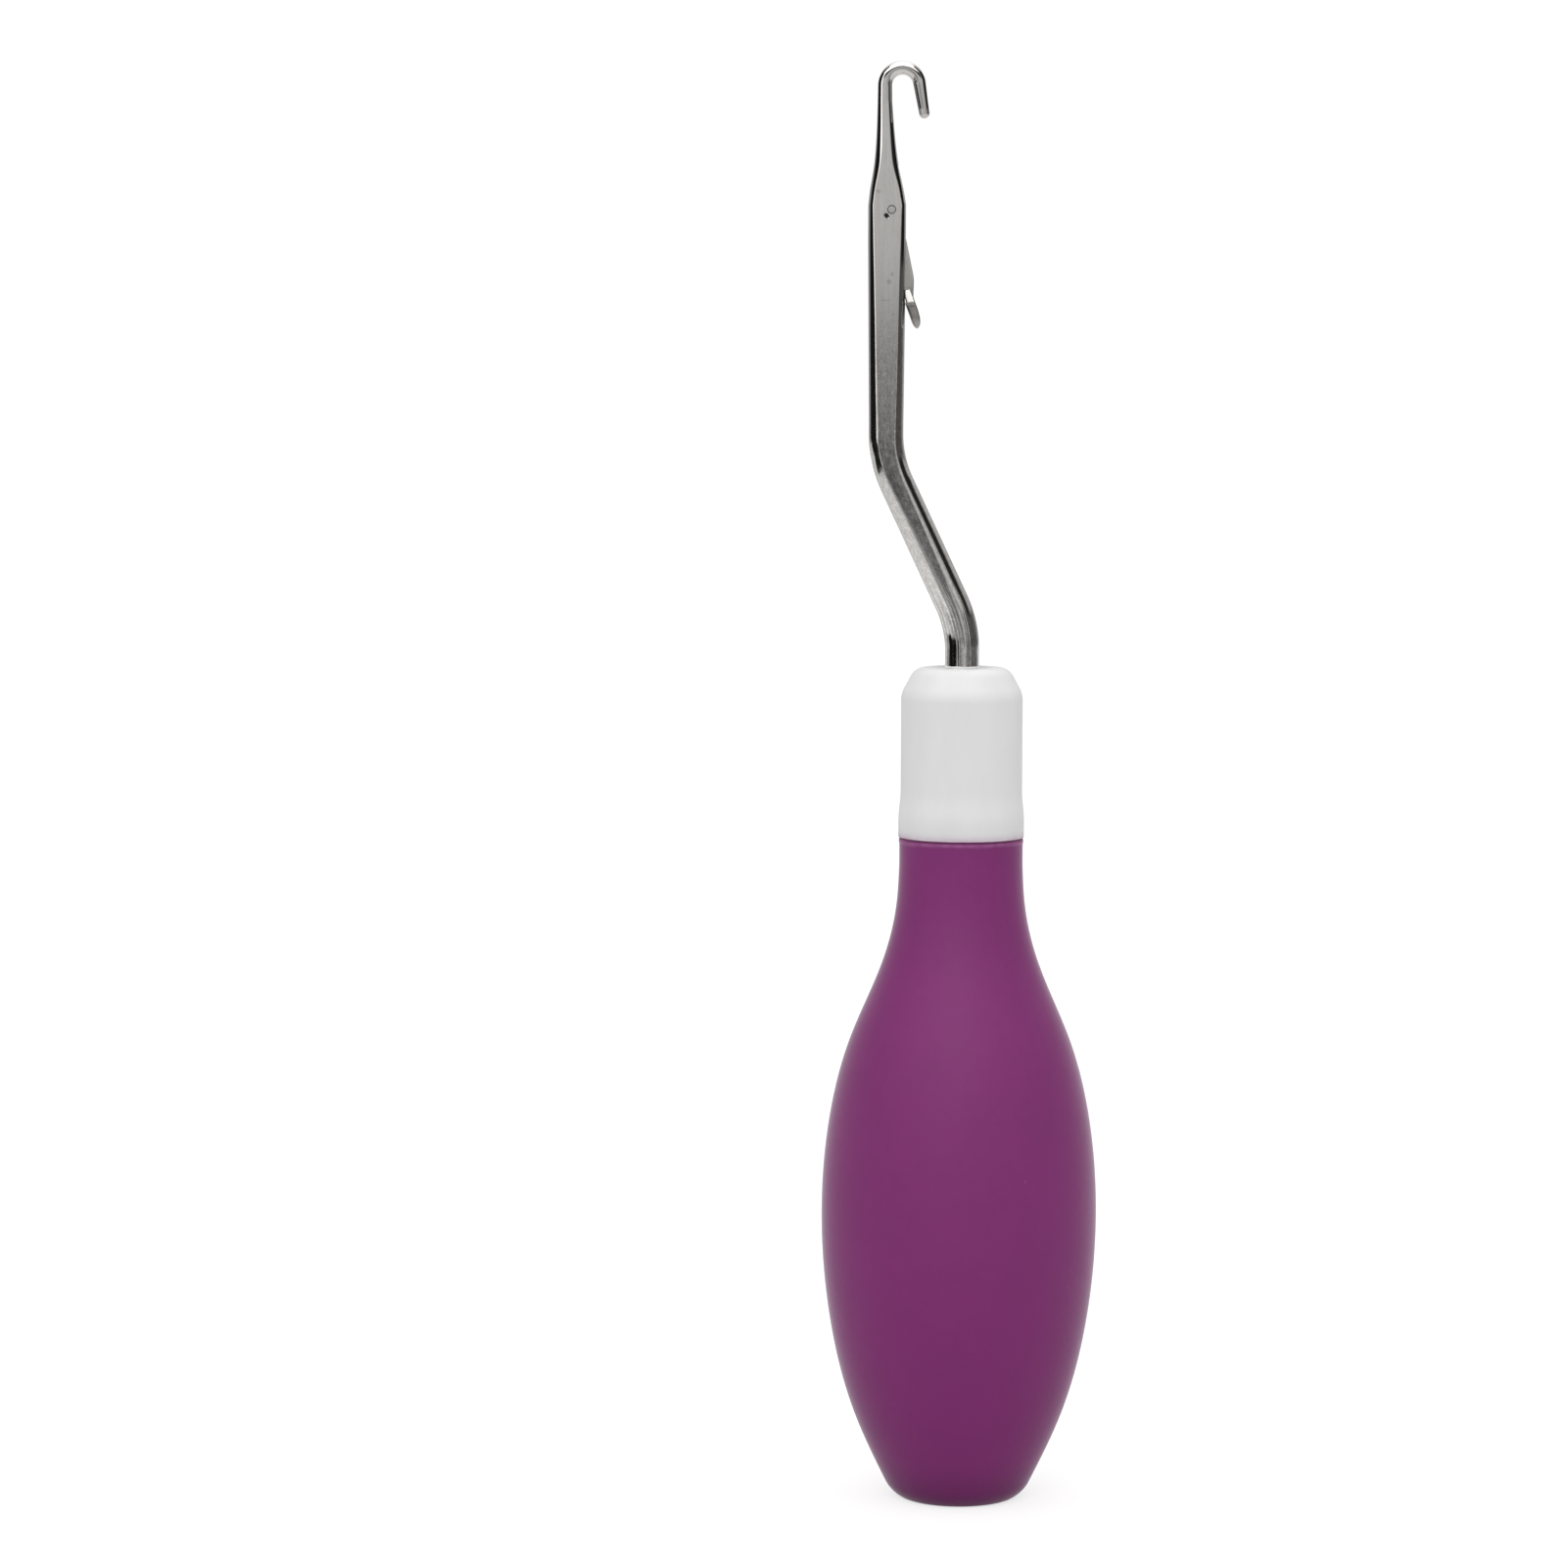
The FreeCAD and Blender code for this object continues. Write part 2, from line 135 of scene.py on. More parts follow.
def spline(stations, count):
    """Points on a natural cubic spline through 2-D stations, by chord length."""
    n = len(stations)
    t = [0.0]
    for a, b in zip(stations, stations[1:]):
        t.append(t[-1] + math.dist(a, b))
    curves = []
    for axis in (0, 1):
        y = [s[axis] for s in stations]
        h = [t[i + 1] - t[i] for i in range(n - 1)]
        low, mid, up, rhs = [0.0] * n, [1.0] * n, [0.0] * n, [0.0] * n
        for i in range(1, n - 1):
            low[i], mid[i], up[i] = h[i - 1], 2 * (h[i - 1] + h[i]), h[i]
            rhs[i] = 6 * ((y[i + 1] - y[i]) / h[i] - (y[i] - y[i - 1]) / h[i - 1])
        for i in range(1, n):
            w = low[i] / mid[i - 1]
            mid[i] -= w * up[i - 1]
            rhs[i] -= w * rhs[i - 1]
        m = [0.0] * n
        m[-1] = rhs[-1] / mid[-1]
        for i in range(n - 2, -1, -1):
            m[i] = (rhs[i] - up[i] * m[i + 1]) / mid[i]
        curves.append((y, m))
    out = []
    for k in range(count + 1):
        s = t[-1] * k / count
        i = min(max(j for j in range(n) if t[j] <= s + 1e-9), n - 2)
        h = t[i + 1] - t[i]
        a, b = (t[i + 1] - s) / h, (s - t[i]) / h
        out.append(tuple(
            a * y[i] + b * y[i + 1] + ((a ** 3 - a) * m[i] + (b ** 3 - b) * m[i + 1]) * h * h / 6
            for y, m in curves))
    return out


def smooth_by_angle(obj, degrees):
    mesh = obj.data
    bm = bmesh.new()
    bm.from_mesh(mesh)
    limit = math.radians(degrees)
    for e in bm.edges:
        e.smooth = len(e.link_faces) == 2 and e.calc_face_angle(0.0) < limit
    bm.to_mesh(mesh)
    bm.free()


def carve(obj, cutters):
    """Cuts the cutters out of obj, keeps the result as its mesh and removes the cutters."""
    for c in cutters:
        mod = obj.modifiers.new("cut", "BOOLEAN")
        mod.operation = "DIFFERENCE"
        mod.solver = "EXACT"
        mod.object = c
    bpy.context.view_layer.update()
    deps = bpy.context.evaluated_depsgraph_get()
    mesh = bpy.data.meshes.new_from_object(obj.evaluated_get(deps))
    obj.modifiers.clear()
    obj.data = mesh
    for c in cutters:
        bpy.data.objects.remove(c)


def prism(name, outline, y0, y1):
    """Closed prism along Y from an (x, z) outline in mm."""
    n = len(outline)
    verts = [(x * MM, y0 * MM, z * MM) for x, z in outline]
    verts += [(x * MM, y1 * MM, z * MM) for x, z in outline]
    faces = [tuple(range(n)), tuple(range(2 * n - 1, n - 1, -1))]
    faces += [(i, (i + 1) % n, n + (i + 1) % n, n + i) for i in range(n)]
    return new_object(name, verts, faces, smooth=False)


def disc_outline(x, z, r, n=48):
    return [(x + r * math.cos(2 * math.pi * i / n), z + r * math.sin(2 * math.pi * i / n))
            for i in range(n)]


# ---------------------------------------------------------------- sizes, mm
TOP_Z = 165.586  # just under the top of the CAD box
GRIP_H, BULB_R, BELLY_Z, NECK_R, NECK_Z = 76.85, 15.912, 33.0, 7.12, 74.0
FOOT_R, FOOT_Z, FLAT_R = 8.30, 1.58, 6.60
PLUG_R, PLUG_GAP, PLUG_H = 5.30, 0.05, 2.0
CORE_TOP = 76.97
COLLAR_TOP, COLLAR_R, COLLAR_TOP_R, COLLAR_BORE_R = 96.60, 7.00, 5.35, 1.99
SKIRT_R, SKIRT_H, SKIRT_RUN, SHOULDER_H = 7.24, 2.7, 2.0, 3.05
BEAD_R, BEAD_INNER_R, BEAD_SINK, BEAD_LUMP = 1.99, 1.96, 0.02, 196
BAR_R, BAR_SINK = 1.98, 2.0  # the bar runs this far down into the collar
HEAD_X, HEAD_R = -8.88, 2.18
BEND_R, BEND_LOW, BEND_HIGH = 13.5, 101.4, 120.3
SWELL_Z, HEAD_Z, SHOULDER_Z, STEM_Z, CROWN_Z = 124.5, 145.0, 149.3, 161.0, 162.85
STEM_R, STEM_SHIFT, CROWN_R = 0.84, 0.32, 1.97
LEG_R, TIP_R, LEG_ANGLE, LEG_L = 0.73, 0.595, 9.4, 3.50
FLATS = [(99.9, 1.99), (111.98, 1.86), (130.0, 1.67), (148.78, 1.46), (161.0, 0.85)]
PIVOT = (-8.40, 148.78)
DENT = (-0.587, -0.688)
LATCH_ANGLE, CLOSED_ANGLE = 11.8, 159.6
BACK_START = 11.0  # from here the spoon's back is rounder than its face
RIVET_R, RIVET_END, RIVET_HOLE_R, EYE_R, EYE_HOLE_R, EYE_ROOM_R = 0.487, 1.462, 0.50, 0.97, 0.54, 1.02
BLADE_L, BLADE_HALF, BLADE_INNER_END, SLOT_HALF = 10.7, 0.40, -0.455, 0.45
SPOON_START, SPOON_END, SPOON_HALF, SPOON_FULL = 8.7, 13.81, 0.95, 10.85


# ---------------------------------------------------------------- grip
def side_points():
    """Side of the grip from the base corner to the straight neck."""
    rise, fall, upper = BULB_R - FOOT_R, BULB_R - NECK_R, NECK_Z - BELLY_Z
    stations = [
        (FOOT_R, FOOT_Z),
        (FOOT_R + 0.492 * rise, 0.297 * BELLY_Z),
        (FOOT_R + 0.879 * rise, 0.649 * BELLY_Z),
        (BULB_R, BELLY_Z),
        (NECK_R + 0.901 * fall, BELLY_Z + 0.278 * upper),
        (NECK_R + 0.634 * fall, BELLY_Z + 0.502 * upper),
        (NECK_R + 0.208 * fall, BELLY_Z + 0.724 * upper),
        (NECK_R + 0.030 * fall, BELLY_Z + 0.890 * upper),
        (NECK_R, NECK_Z),
    ]
    return spline(stations, 150)


def arc(p, q, r, n):
    """Points on the circle through p, q, r, from p up to but not including r."""
    (ax, ay), (bx, by), (cx, cy) = p, q, r
    d = 2 * (ax * (by - cy) + bx * (cy - ay) + cx * (ay - by))
    sa, sb, sc = ax * ax + ay * ay, bx * bx + by * by, cx * cx + cy * cy
    ux = (sa * (by - cy) + sb * (cy - ay) + sc * (ay - by)) / d
    uy = (sa * (cx - bx) + sb * (ax - cx) + sc * (bx - ax)) / d
    rad = math.dist(p, (ux, uy))
    a0 = math.atan2(ay - uy, ax - ux)
    turn = (math.atan2(cy - uy, cx - ux) - a0 + math.pi) % (2 * math.pi) - math.pi
    angles = [a0 + turn * k / n for k in range(n)]
    return [(ux + rad * math.cos(a), uy + rad * math.sin(a)) for a in angles]


def make_grip():
    """Soft shell with its rounded lip, open in the base round the plug."""
    midway = (FLAT_R + 0.53 * (FOOT_R - FLAT_R), 0.39 * FOOT_Z)
    corner = arc((FLAT_R, 0.0), midway, (FOOT_R, FOOT_Z), 12)
    corner[0:1] = [(FLAT_R - 0.25, 0.0), (FLAT_R - 0.05, 0.01), (FLAT_R + 0.10, 0.07)]
    side = side_points()
    lip = round_corners([
        (NECK_R, NECK_Z + 0.4, 0),
        (NECK_R, GRIP_H - 0.62, 0.3),
        (NECK_R + 0.06, GRIP_H - 0.42, 0.2),
        (NECK_R + 0.06, GRIP_H + 0.06, 0.30),
        (NECK_R - 0.5, GRIP_H + 0.06, 0),
    ], 5)
    r = PLUG_R + PLUG_GAP
    inner = [(r, GRIP_H), (r, GRIP_H - 1.5), (r, 1.2), (r, 0.25), (r + 0.10, 0.08), (r + 0.25, 0.0)]
    return lathe("grip", corner + side + lip + inner, 224)


# ---------------------------------------------------------------- collar, bead, plug
def make_collar():
    """White ferrule: skirt at the grip, plain body and sloped shoulder."""
    outline = round_corners([
        (5.2, CORE_TOP, 0),
        (SKIRT_R, CORE_TOP, 0.12),
        (SKIRT_R, CORE_TOP + SKIRT_H, 15.0),
        (COLLAR_R, CORE_TOP + SKIRT_H + SKIRT_RUN, 15.0),
        (COLLAR_R, COLLAR_TOP - SHOULDER_H, 3.0),
        (COLLAR_TOP_R, COLLAR_TOP, 1.8),
        (COLLAR_BORE_R, COLLAR_TOP, 0),
        (COLLAR_BORE_R, COLLAR_TOP - BAR_SINK, 0),
    ], 8)
    return lathe("collar_ferrule", outline, 192)


def make_bead():
    """Thin run of sealant round the bar, a little uneven."""
    rows, seg = 7, 128
    verts, faces = [], []
    for k in range(rows):
        a = math.pi / 2 * k / (rows - 1)
        for i in range(seg):
            t = 2 * math.pi * i / seg
            wave = 1 + 0.16 * math.sin(3 * t + 0.6) + 0.10 * math.sin(7 * t + 2.0)
            lump = math.exp(-((t - math.radians(BEAD_LUMP)) / 0.30) ** 2)
            wide = 0.26 * wave + 0.16 * lump
            high = 0.17 * wave + 0.16 * lump
            r = BEAD_R + wide * (1 - math.sin(a)) ** 1.3
            z = COLLAR_TOP - BEAD_SINK + high * (1 - math.cos(a)) ** 1.3
            verts.append((r * math.cos(t) * MM, r * math.sin(t) * MM, z * MM))
    for i in range(seg):
        t = 2 * math.pi * i / seg
        verts.append((BEAD_INNER_R * math.cos(t) * MM, BEAD_INNER_R * math.sin(t) * MM,
                      (COLLAR_TOP - BEAD_SINK) * MM))
    rows += 1
    for k in range(rows):
        n = (k + 1) % rows
        for i in range(seg):
            j = (i + 1) % seg
            faces.append((k * seg + i, k * seg + j, n * seg + j, n * seg + i))
    return new_object("sealing_bead", verts, faces)


def make_plug():
    """Plug in the base, with a shallow dished face and a moulding point in its middle."""
    outline = round_corners([
        (0, 0.35, 0),
        (0.9, 0.35, 0.1),
        (1.1, 0.12, 0.1),
        (4.6, 0.12, 0.1),
        (4.7, 0.0, 0.05),
        (PLUG_R, 0.0, 0.25),
        (PLUG_R, PLUG_H, 0),
        (0, PLUG_H, 0),
    ])
    return lathe("base_plug", outline, 128)


# ---------------------------------------------------------------- shank
def path_points():
    """Centreline (x, z) from the collar to the hook's point, with the ends of the leg."""
    lean = math.atan2(-HEAD_X, BEND_HIGH - BEND_LOW)
    cut = BEND_R * math.tan(lean / 2)
    out = []

    def line(p, q, step):
        n = max(1, round(math.dist(p, q) / step))
        for i in range(n):
            out.append((p[0] + (q[0] - p[0]) * i / n, p[1] + (q[1] - p[1]) * i / n))

    low0 = (0.0, BEND_LOW - cut)
    low1 = (-cut * math.sin(lean), BEND_LOW + cut * math.cos(lean))
    high0 = (HEAD_X + cut * math.sin(lean), BEND_HIGH - cut * math.cos(lean))
    high1 = (HEAD_X, BEND_HIGH + cut)
    line((0.0, COLLAR_TOP - BAR_SINK), low0, 0.5)
    for i in range(14):
        a = lean * i / 14
        out.append((-BEND_R * (1 - math.cos(a)), low0[1] + BEND_R * math.sin(a)))
    line(low1, high0, 0.5)
    for i in range(14):
        a = lean * (1 - i / 14)
        out.append((high1[0] + BEND_R * (1 - math.cos(a)), high1[1] - BEND_R * math.sin(a)))
    line(high1, (HEAD_X, SHOULDER_Z), 0.5)
    for i in range(40):
        share = i / 40
        out.append((HEAD_X - STEM_SHIFT * share, SHOULDER_Z + (STEM_Z - SHOULDER_Z) * share))
    sx = HEAD_X - STEM_SHIFT
    line((sx, STEM_Z), (sx, CROWN_Z), 0.25)
    slant = math.radians(LEG_ANGLE)
    for i in range(48):
        a = math.pi - (math.pi - slant) * i / 48
        out.append((sx + CROWN_R + CROWN_R * math.cos(a), CROWN_Z + CROWN_R * math.sin(a)))
    start = (sx + CROWN_R + CROWN_R * math.cos(slant), CROWN_Z + CROWN_R * math.sin(slant))
    stop = (start[0] + LEG_L * math.sin(slant), start[1] - LEG_L * math.cos(slant))
    line(start, stop, 0.25)
    for i in range(10):
        d = TIP_R * math.sin(math.radians(88 * i / 9))
        out.append((stop[0] + d * math.sin(slant), stop[1] - d * math.cos(slant)))
    return out, start, stop


def shank_radius(i, pts, marks, shares):
    """Radius of the bar at point i; marks are the ends of the leg, shares the taper's curve."""
    z = pts[i][1]
    leg, tip = marks
    if i >= tip:
        return math.sqrt(max(TIP_R ** 2 - math.dist(pts[i], pts[tip]) ** 2, 1e-5))
    if i >= leg:
        return LEG_R + (TIP_R - LEG_R) * math.dist(pts[i], pts[leg]) / LEG_L
    if z >= STEM_Z:
        length = (CROWN_Z - STEM_Z) + CROWN_R * (math.pi - math.radians(LEG_ANGLE))
        stem = next(k for k in range(len(pts)) if pts[k][1] >= STEM_Z - 1e-9)
        run = sum(math.dist(pts[k], pts[k + 1]) for k in range(stem, i))
        return STEM_R + (LEG_R - STEM_R) * run / length
    if z >= SHOULDER_Z:
        share = (z - SHOULDER_Z) / (STEM_Z - SHOULDER_Z)
        return STEM_R + (HEAD_R - STEM_R) * min(shares, key=lambda s: abs(s[0] - share))[1]
    if z >= HEAD_Z:
        return HEAD_R
    if z >= SWELL_Z:
        return BAR_R + (HEAD_R - BAR_R) * (z - SWELL_Z) / (HEAD_Z - SWELL_Z)
    return BAR_R


def soft_clip(v, limit, edge):
    """v limited to +-limit, with the corner rounded over about edge."""
    s = 1 if v >= 0 else -1
    a = abs(v)
    if a <= limit - edge:
        return v
    if a >= limit + edge:
        return s * limit
    u = (a - (limit - edge)) / (2 * edge)
    return s * (limit - edge + 2 * edge * (u - u * u / 2))


def make_shank():
    """Bar from the collar to the point: round wire with two flats, slotted and bored for the latch."""
    pts, leg_start, leg_stop = path_points()
    leg = next(i for i in range(len(pts)) if math.dist(pts[i], leg_start) < 1e-6)
    tip = next(i for i in range(len(pts)) if math.dist(pts[i], leg_stop) < 1e-6)
    shares = spline([(0.0, 1.0), (0.12, 0.86), (0.39, 0.425), (0.70, 0.145), (1.0, 0.0)], 400)
    flats = spline(FLATS, 600)
    seg = 144
    verts, faces = [], []
    for i, (x, z) in enumerate(pts):
        a = pts[max(i - 1, 0)]
        b = pts[min(i + 1, len(pts) - 1)]
        t = Vector((b[0] - a[0], b[1] - a[1])).normalized()
        side = Vector((t.y, -t.x))
        r = shank_radius(i, pts, (leg, tip), shares)
        half = 9.0
        if FLATS[0][0] < z < STEM_Z and i < leg:
            half = min(flats, key=lambda s: abs(s[0] - z))[1]
        back = 0.09 + 0.06 * min(max((z - 134) / 10, 0), 1)
        back *= 1 - 0.6 * min(max((z - 150) / 6, 0), 1)
        crown = 0.015 * min(max((121.5 - z) / 3, 0), 1)
        for k in range(seg):
            p = 2 * math.pi * (k + 0.5) / seg
            u, v = r * math.cos(p), r * math.sin(p)
            v = soft_clip(v, half - crown * u * u, back if u < 0 else 0.05)
            verts.append(((x + side.x * u) * MM, v * MM, min(z + side.y * u, TOP_Z) * MM))
    rings = len(pts)
    for i in range(rings - 1):
        for k in range(seg):
            j = (k + 1) % seg
            faces.append((i * seg + k, i * seg + j, (i + 1) * seg + j, (i + 1) * seg + k))
    faces.append(tuple(range(seg)))
    faces.append(tuple((rings - 1) * seg + k for k in range(seg)))
    shank = new_object("shank", verts, faces)
    carve(shank, [slot_cutter(), prism("hole", disc_outline(*PIVOT, RIVET_HOLE_R), -4, 4), dent_cutter()])
    smooth_by_angle(shank, 28)
    add_grain(shank, pts)
    return shank


def add_grain(obj, pts):
    """Stores across, depth and along (mm) at each vertex, measured along the bar."""
    run = [0.0]
    for a, b in zip(pts, pts[1:]):
        run.append(run[-1] + math.dist(a, b))
    tree = KDTree(len(pts))
    for i, (x, z) in enumerate(pts):
        tree.insert((x, 0, z), i)
    tree.balance()
    values = []
    for v in obj.data.vertices:
        x, y, z = v.co / MM
        i = tree.find((x, 0, z))[1]
        a, b = pts[max(i - 1, 0)], pts[min(i + 1, len(pts) - 1)]
        t = Vector((b[0] - a[0], b[1] - a[1])).normalized()
        dx, dz = x - pts[i][0], z - pts[i][1]
        values += [dx * t.y - dz * t.x, y, run[i] + dx * t.x + dz * t.y]
    layer = obj.data.attributes.new("grain", "FLOAT_VECTOR", "POINT")
    layer.data.foreach_set("vector", values)


def from_pivot(along, across, angle):
    """(x, z) of a place measured from the pivot along and across a blade at that angle."""
    t = math.radians(angle)
    return (PIVOT[0] + along * math.sin(t) + across * math.cos(t),
            PIVOT[1] - along * math.cos(t) + across * math.sin(t))


def slot_cutter():
    """Slot in the head that leaves room for the blade from hanging to closed."""
    r = EYE_ROOM_R
    pts = [from_pivot(12.3, -0.51, LATCH_ANGLE)]
    a0 = math.radians(LATCH_ANGLE - 180)
    a1 = math.radians(CLOSED_ANGLE)
    for k in range(25):
        a = a0 - (a0 - a1 + 2 * math.pi) * k / 24
        pts.append((PIVOT[0] + r * math.cos(a), PIVOT[1] + r * math.sin(a)))
    top = from_pivot(6.2, r, CLOSED_ANGLE)
    pts += [top, (-1.0, top[1]), (-1.0, pts[0][1])]
    return prism("slot", pts, -SLOT_HALF, SLOT_HALF)


def dent_cutter():
    """Oblong punch that leaves the staking dent beside the rivet."""
    x, z = PIVOT[0] + DENT[0], PIVOT[1] + DENT[1]
    verts, faces, n, diagonal = [], [], 28, 0.7071
    for depth, size in ((-1.62, 1.5), (-1.40, 0.75), (-1.24, 0.25)):
        for i in range(n):
            a = 2 * math.pi * i / n
            u, v = 0.40 * size * math.cos(a), 0.23 * size * math.sin(a)
            verts.append(((x + (u + v) * diagonal) * MM, depth * MM, (z + (v - u) * diagonal) * MM))
    for k in (0, 1):
        for i in range(n):
            j = (i + 1) % n
            faces.append((k * n + i, k * n + j, k * n + n + j, k * n + n + i))
    faces += [tuple(range(n)), tuple(range(2 * n, 3 * n))]
    return new_object("dent", verts, faces)


def make_rivet():
    """Pin through both cheeks, its ends ground flush."""
    outline = round_corners([
        (0, -RIVET_END, 0),
        (0.40, -RIVET_END + 0.002, 0.05),
        (RIVET_R, -RIVET_END + 0.017, 0.01),
        (RIVET_R, RIVET_END - 0.017, 0.01),
        (0.40, RIVET_END - 0.002, 0.05),
        (0, RIVET_END, 0),
    ], 4)
    pin = lathe("rivet", outline, 48)
    pin.data.transform(Matrix.Translation((PIVOT[0] * MM, 0, PIVOT[1] * MM))
                       @ Matrix.Rotation(math.pi / 2, 4, "X"))
    return pin


# ---------------------------------------------------------------- latch
def latch_point(along, across, y):
    """Place on the hanging latch, in metres."""
    x, z = from_pivot(along, across, LATCH_ANGLE)
    return (x * MM, y * MM, z * MM)


def follow(table, s):
    """Value at s on a smooth curve through the (s, value) pairs."""
    return min(table, key=lambda q: abs(q[0] - s))[1]


def loft(name, stations, seg, inner_power, outer_power):
    """Closed solid through cross-sections (s, inner edge, outer edge, half width) of the latch."""
    verts, faces = [], []
    for s, inner, outer, half in stations:
        for k in range(seg):
            a = 2 * math.pi * (k + 0.5) / seg
            c, d = math.cos(a), math.sin(a)
            power = inner_power if c <= 0 and s > BACK_START else outer_power
            u = math.copysign(abs(c) ** (2 / power), c)
            v = math.copysign(abs(d) ** (2 / power), d)
            verts.append(latch_point(s, (inner + outer) / 2 + (outer - inner) / 2 * u, half * v))
    n = len(stations)
    for i in range(n - 1):
        for k in range(seg):
            j = (k + 1) % seg
            faces.append((i * seg + k, i * seg + j, (i + 1) * seg + j, (i + 1) * seg + k))
    faces += [tuple(range(seg)), tuple((n - 1) * seg + k for k in range(seg))]
    return new_object(name, verts, faces)


def make_latch():
    """Blade with its eye, and the spoon with its hollow, joined into one mesh."""
    outer_edge = spline([(7.4, EYE_R), (7.9, 0.955), (8.95, 0.78), (9.8, 0.56), (BLADE_L, 0.40)], 200)
    blade = []
    for k in range(13):
        a = math.radians(172 - 82 * k / 12)
        blade.append((EYE_R * math.cos(a), -EYE_R * math.sin(a), EYE_R * math.sin(a), BLADE_HALF))
    for k in range(1, 65):
        s = BLADE_L * k / 64
        inner = -EYE_R + (EYE_R + BLADE_INNER_END) * s / BLADE_L
        blade.append((s, inner, EYE_R if s < outer_edge[0][0] else follow(outer_edge, s), BLADE_HALF))
    low = spline([(SPOON_START, -0.40), (9.4, -0.60), (10.2, -0.62), (10.93, -0.56), (12.0, -0.40),
                  (13.0, -0.25), (13.45, -0.12), (13.7, 0.04), (SPOON_END, 0.17)], 300)
    high = spline([(SPOON_START, 0.10), (9.4, 0.34), (10.2, 0.48), (10.93, 0.58), (11.76, 0.70),
                   (12.6, 0.74), (13.2, 0.67), (13.6, 0.49), (SPOON_END, 0.25)], 300)
    wide = spline([(SPOON_FULL, SPOON_HALF), (11.8, SPOON_HALF), (12.8, 0.92), (13.35, 0.74),
                   (13.65, 0.50), (SPOON_END, 0.16)], 300)

    def width(s):
        return max(SPOON_HALF - 0.33 * (SPOON_FULL - s), 0.25) if s < SPOON_FULL else follow(wide, s)

    places = [SPOON_START + (SPOON_END - SPOON_START) * math.sin(math.pi / 2 * k / 56) for k in range(57)]
    spoon = [(s, follow(low, s), follow(high, s), width(s)) for s in places]
    body = loft("latch_blade", blade, 56, 9.0, 9.0)
    cup = loft("spoon", spoon, 72, 2.6, 6.0)
    hollow, hollow_start, hollow_l = [], 10.90, 2.25
    for k in range(25):
        t = k / 24
        s = hollow_start + hollow_l * t
        bulge = math.sin(math.pi * min(max(t, 0.02), 0.98))
        rim = follow(high, s)
        hollow.append((s, rim - 0.48 * bulge ** 0.45, rim + 0.5, 0.34 + 0.32 * bulge ** 0.6))
    carve(cup, [loft("hollow", hollow, 40, 2.2, 2.2), seat_block()])
    join(body, cup)
    carve(body, [prism("pin_hole", disc_outline(*PIVOT, EYE_HOLE_R), -2, 2)])
    smooth_by_angle(body, 32)
    body.name = "latch_piece"
    return body


def seat_block():
    """Keeps the hanging spoon clear of the bar."""
    x = HEAD_X + BAR_R + 0.75 * (HEAD_R - BAR_R) + 0.02
    return prism("seat", [(x - 6, 128), (x, 128), (x, 142), (x - 6, 142)], -3, 3)


def join(obj, other):
    """Unites other with obj, as one mesh."""
    mod = obj.modifiers.new("join", "BOOLEAN")
    mod.operation = "UNION"
    mod.solver = "EXACT"
    mod.object = other
    bpy.context.view_layer.update()
    mesh = bpy.data.meshes.new_from_object(obj.evaluated_get(bpy.context.evaluated_depsgraph_get()))
    obj.modifiers.clear()
    obj.data = mesh
    bpy.data.objects.remove(other)


# ---------------------------------------------------------------- material helpers
def put(tree, kind, inputs=None, **props):
    """New node; an input given as a socket is linked, any other value is set."""
    n = tree.nodes.new(kind)
    for key, value in props.items():
        setattr(n, key, value)
    for key, value in (inputs or {}).items():
        if isinstance(value, bpy.types.NodeSocket):
            tree.links.new(value, n.inputs[key])
        else:
            n.inputs[key].default_value = value
    return n


def calc(tree, op, a, b=0.0, clamp=False):
    return put(tree, "ShaderNodeMath", {0: a, 1: b}, operation=op, use_clamp=clamp).outputs[0]


def fit(tree, value, low, high, to_low=0.0, to_high=1.0, smooth=False):
    return put(tree, "ShaderNodeMapRange",
               {"Value": value, "From Min": low, "From Max": high, "To Min": to_low, "To Max": to_high},
               interpolation_type="SMOOTHSTEP" if smooth else "LINEAR").outputs[0]


def blend(tree, fac, a, b):
    return put(tree, "ShaderNodeMix", {0: fac, 6: a, 7: b}, data_type="RGBA").outputs[2]


def stretch(tree, vector, scale):
    return put(tree, "ShaderNodeVectorMath", {0: vector, 1: scale}, operation="MULTIPLY").outputs[0]


def noise(tree, vector, scale, detail=3.0, rough=0.55):
    return put(tree, "ShaderNodeTexNoise",
               {"Vector": vector, "Scale": scale, "Detail": detail, "Roughness": rough}).outputs[0]


def ramp(tree, value, stops):
    n = put(tree, "ShaderNodeValToRGB", {0: value})
    cr = n.color_ramp
    cr.elements[0].position, cr.elements[1].position = stops[0][0], stops[-1][0]
    for pos, _ in stops[1:-1]:
        cr.elements.new(pos)
    for e, (_, v) in zip(cr.elements, stops):
        e.color = (v, v, v, 1)
    return n.outputs[0]


def spot(tree, place, centre, size, power=1.0):
    """1 at centre (mm), falling to 0 at size (mm, one number per axis)."""
    away = put(tree, "ShaderNodeVectorMath",
               {0: place, 1: tuple(c * MM for c in centre)}, operation="SUBTRACT").outputs[0]
    away = stretch(tree, away, tuple(1 / (s * MM) for s in size))
    far = put(tree, "ShaderNodeVectorMath", {0: away}, operation="LENGTH").outputs["Value"]
    return fit(tree, far, 0.0, 1.0, power, 0.0, True)


def material(name, rough, metallic=0.0):
    """New material with its tree and its Principled shader."""
    mat = bpy.data.materials.new(name)
    mat.use_nodes = True
    tree = mat.node_tree
    bsdf = tree.nodes["Principled BSDF"]
    bsdf.inputs["Roughness"].default_value = rough
    bsdf.inputs["Metallic"].default_value = metallic
    return mat, tree, bsdf


def bump(tree, bsdf, height, depth):
    """Relief of that depth (mm) on the shader."""
    n = put(tree, "ShaderNodeBump", {"Height": height, "Distance": depth * MM, "Strength": 1.0})
    tree.links.new(n.outputs[0], bsdf.inputs["Normal"])


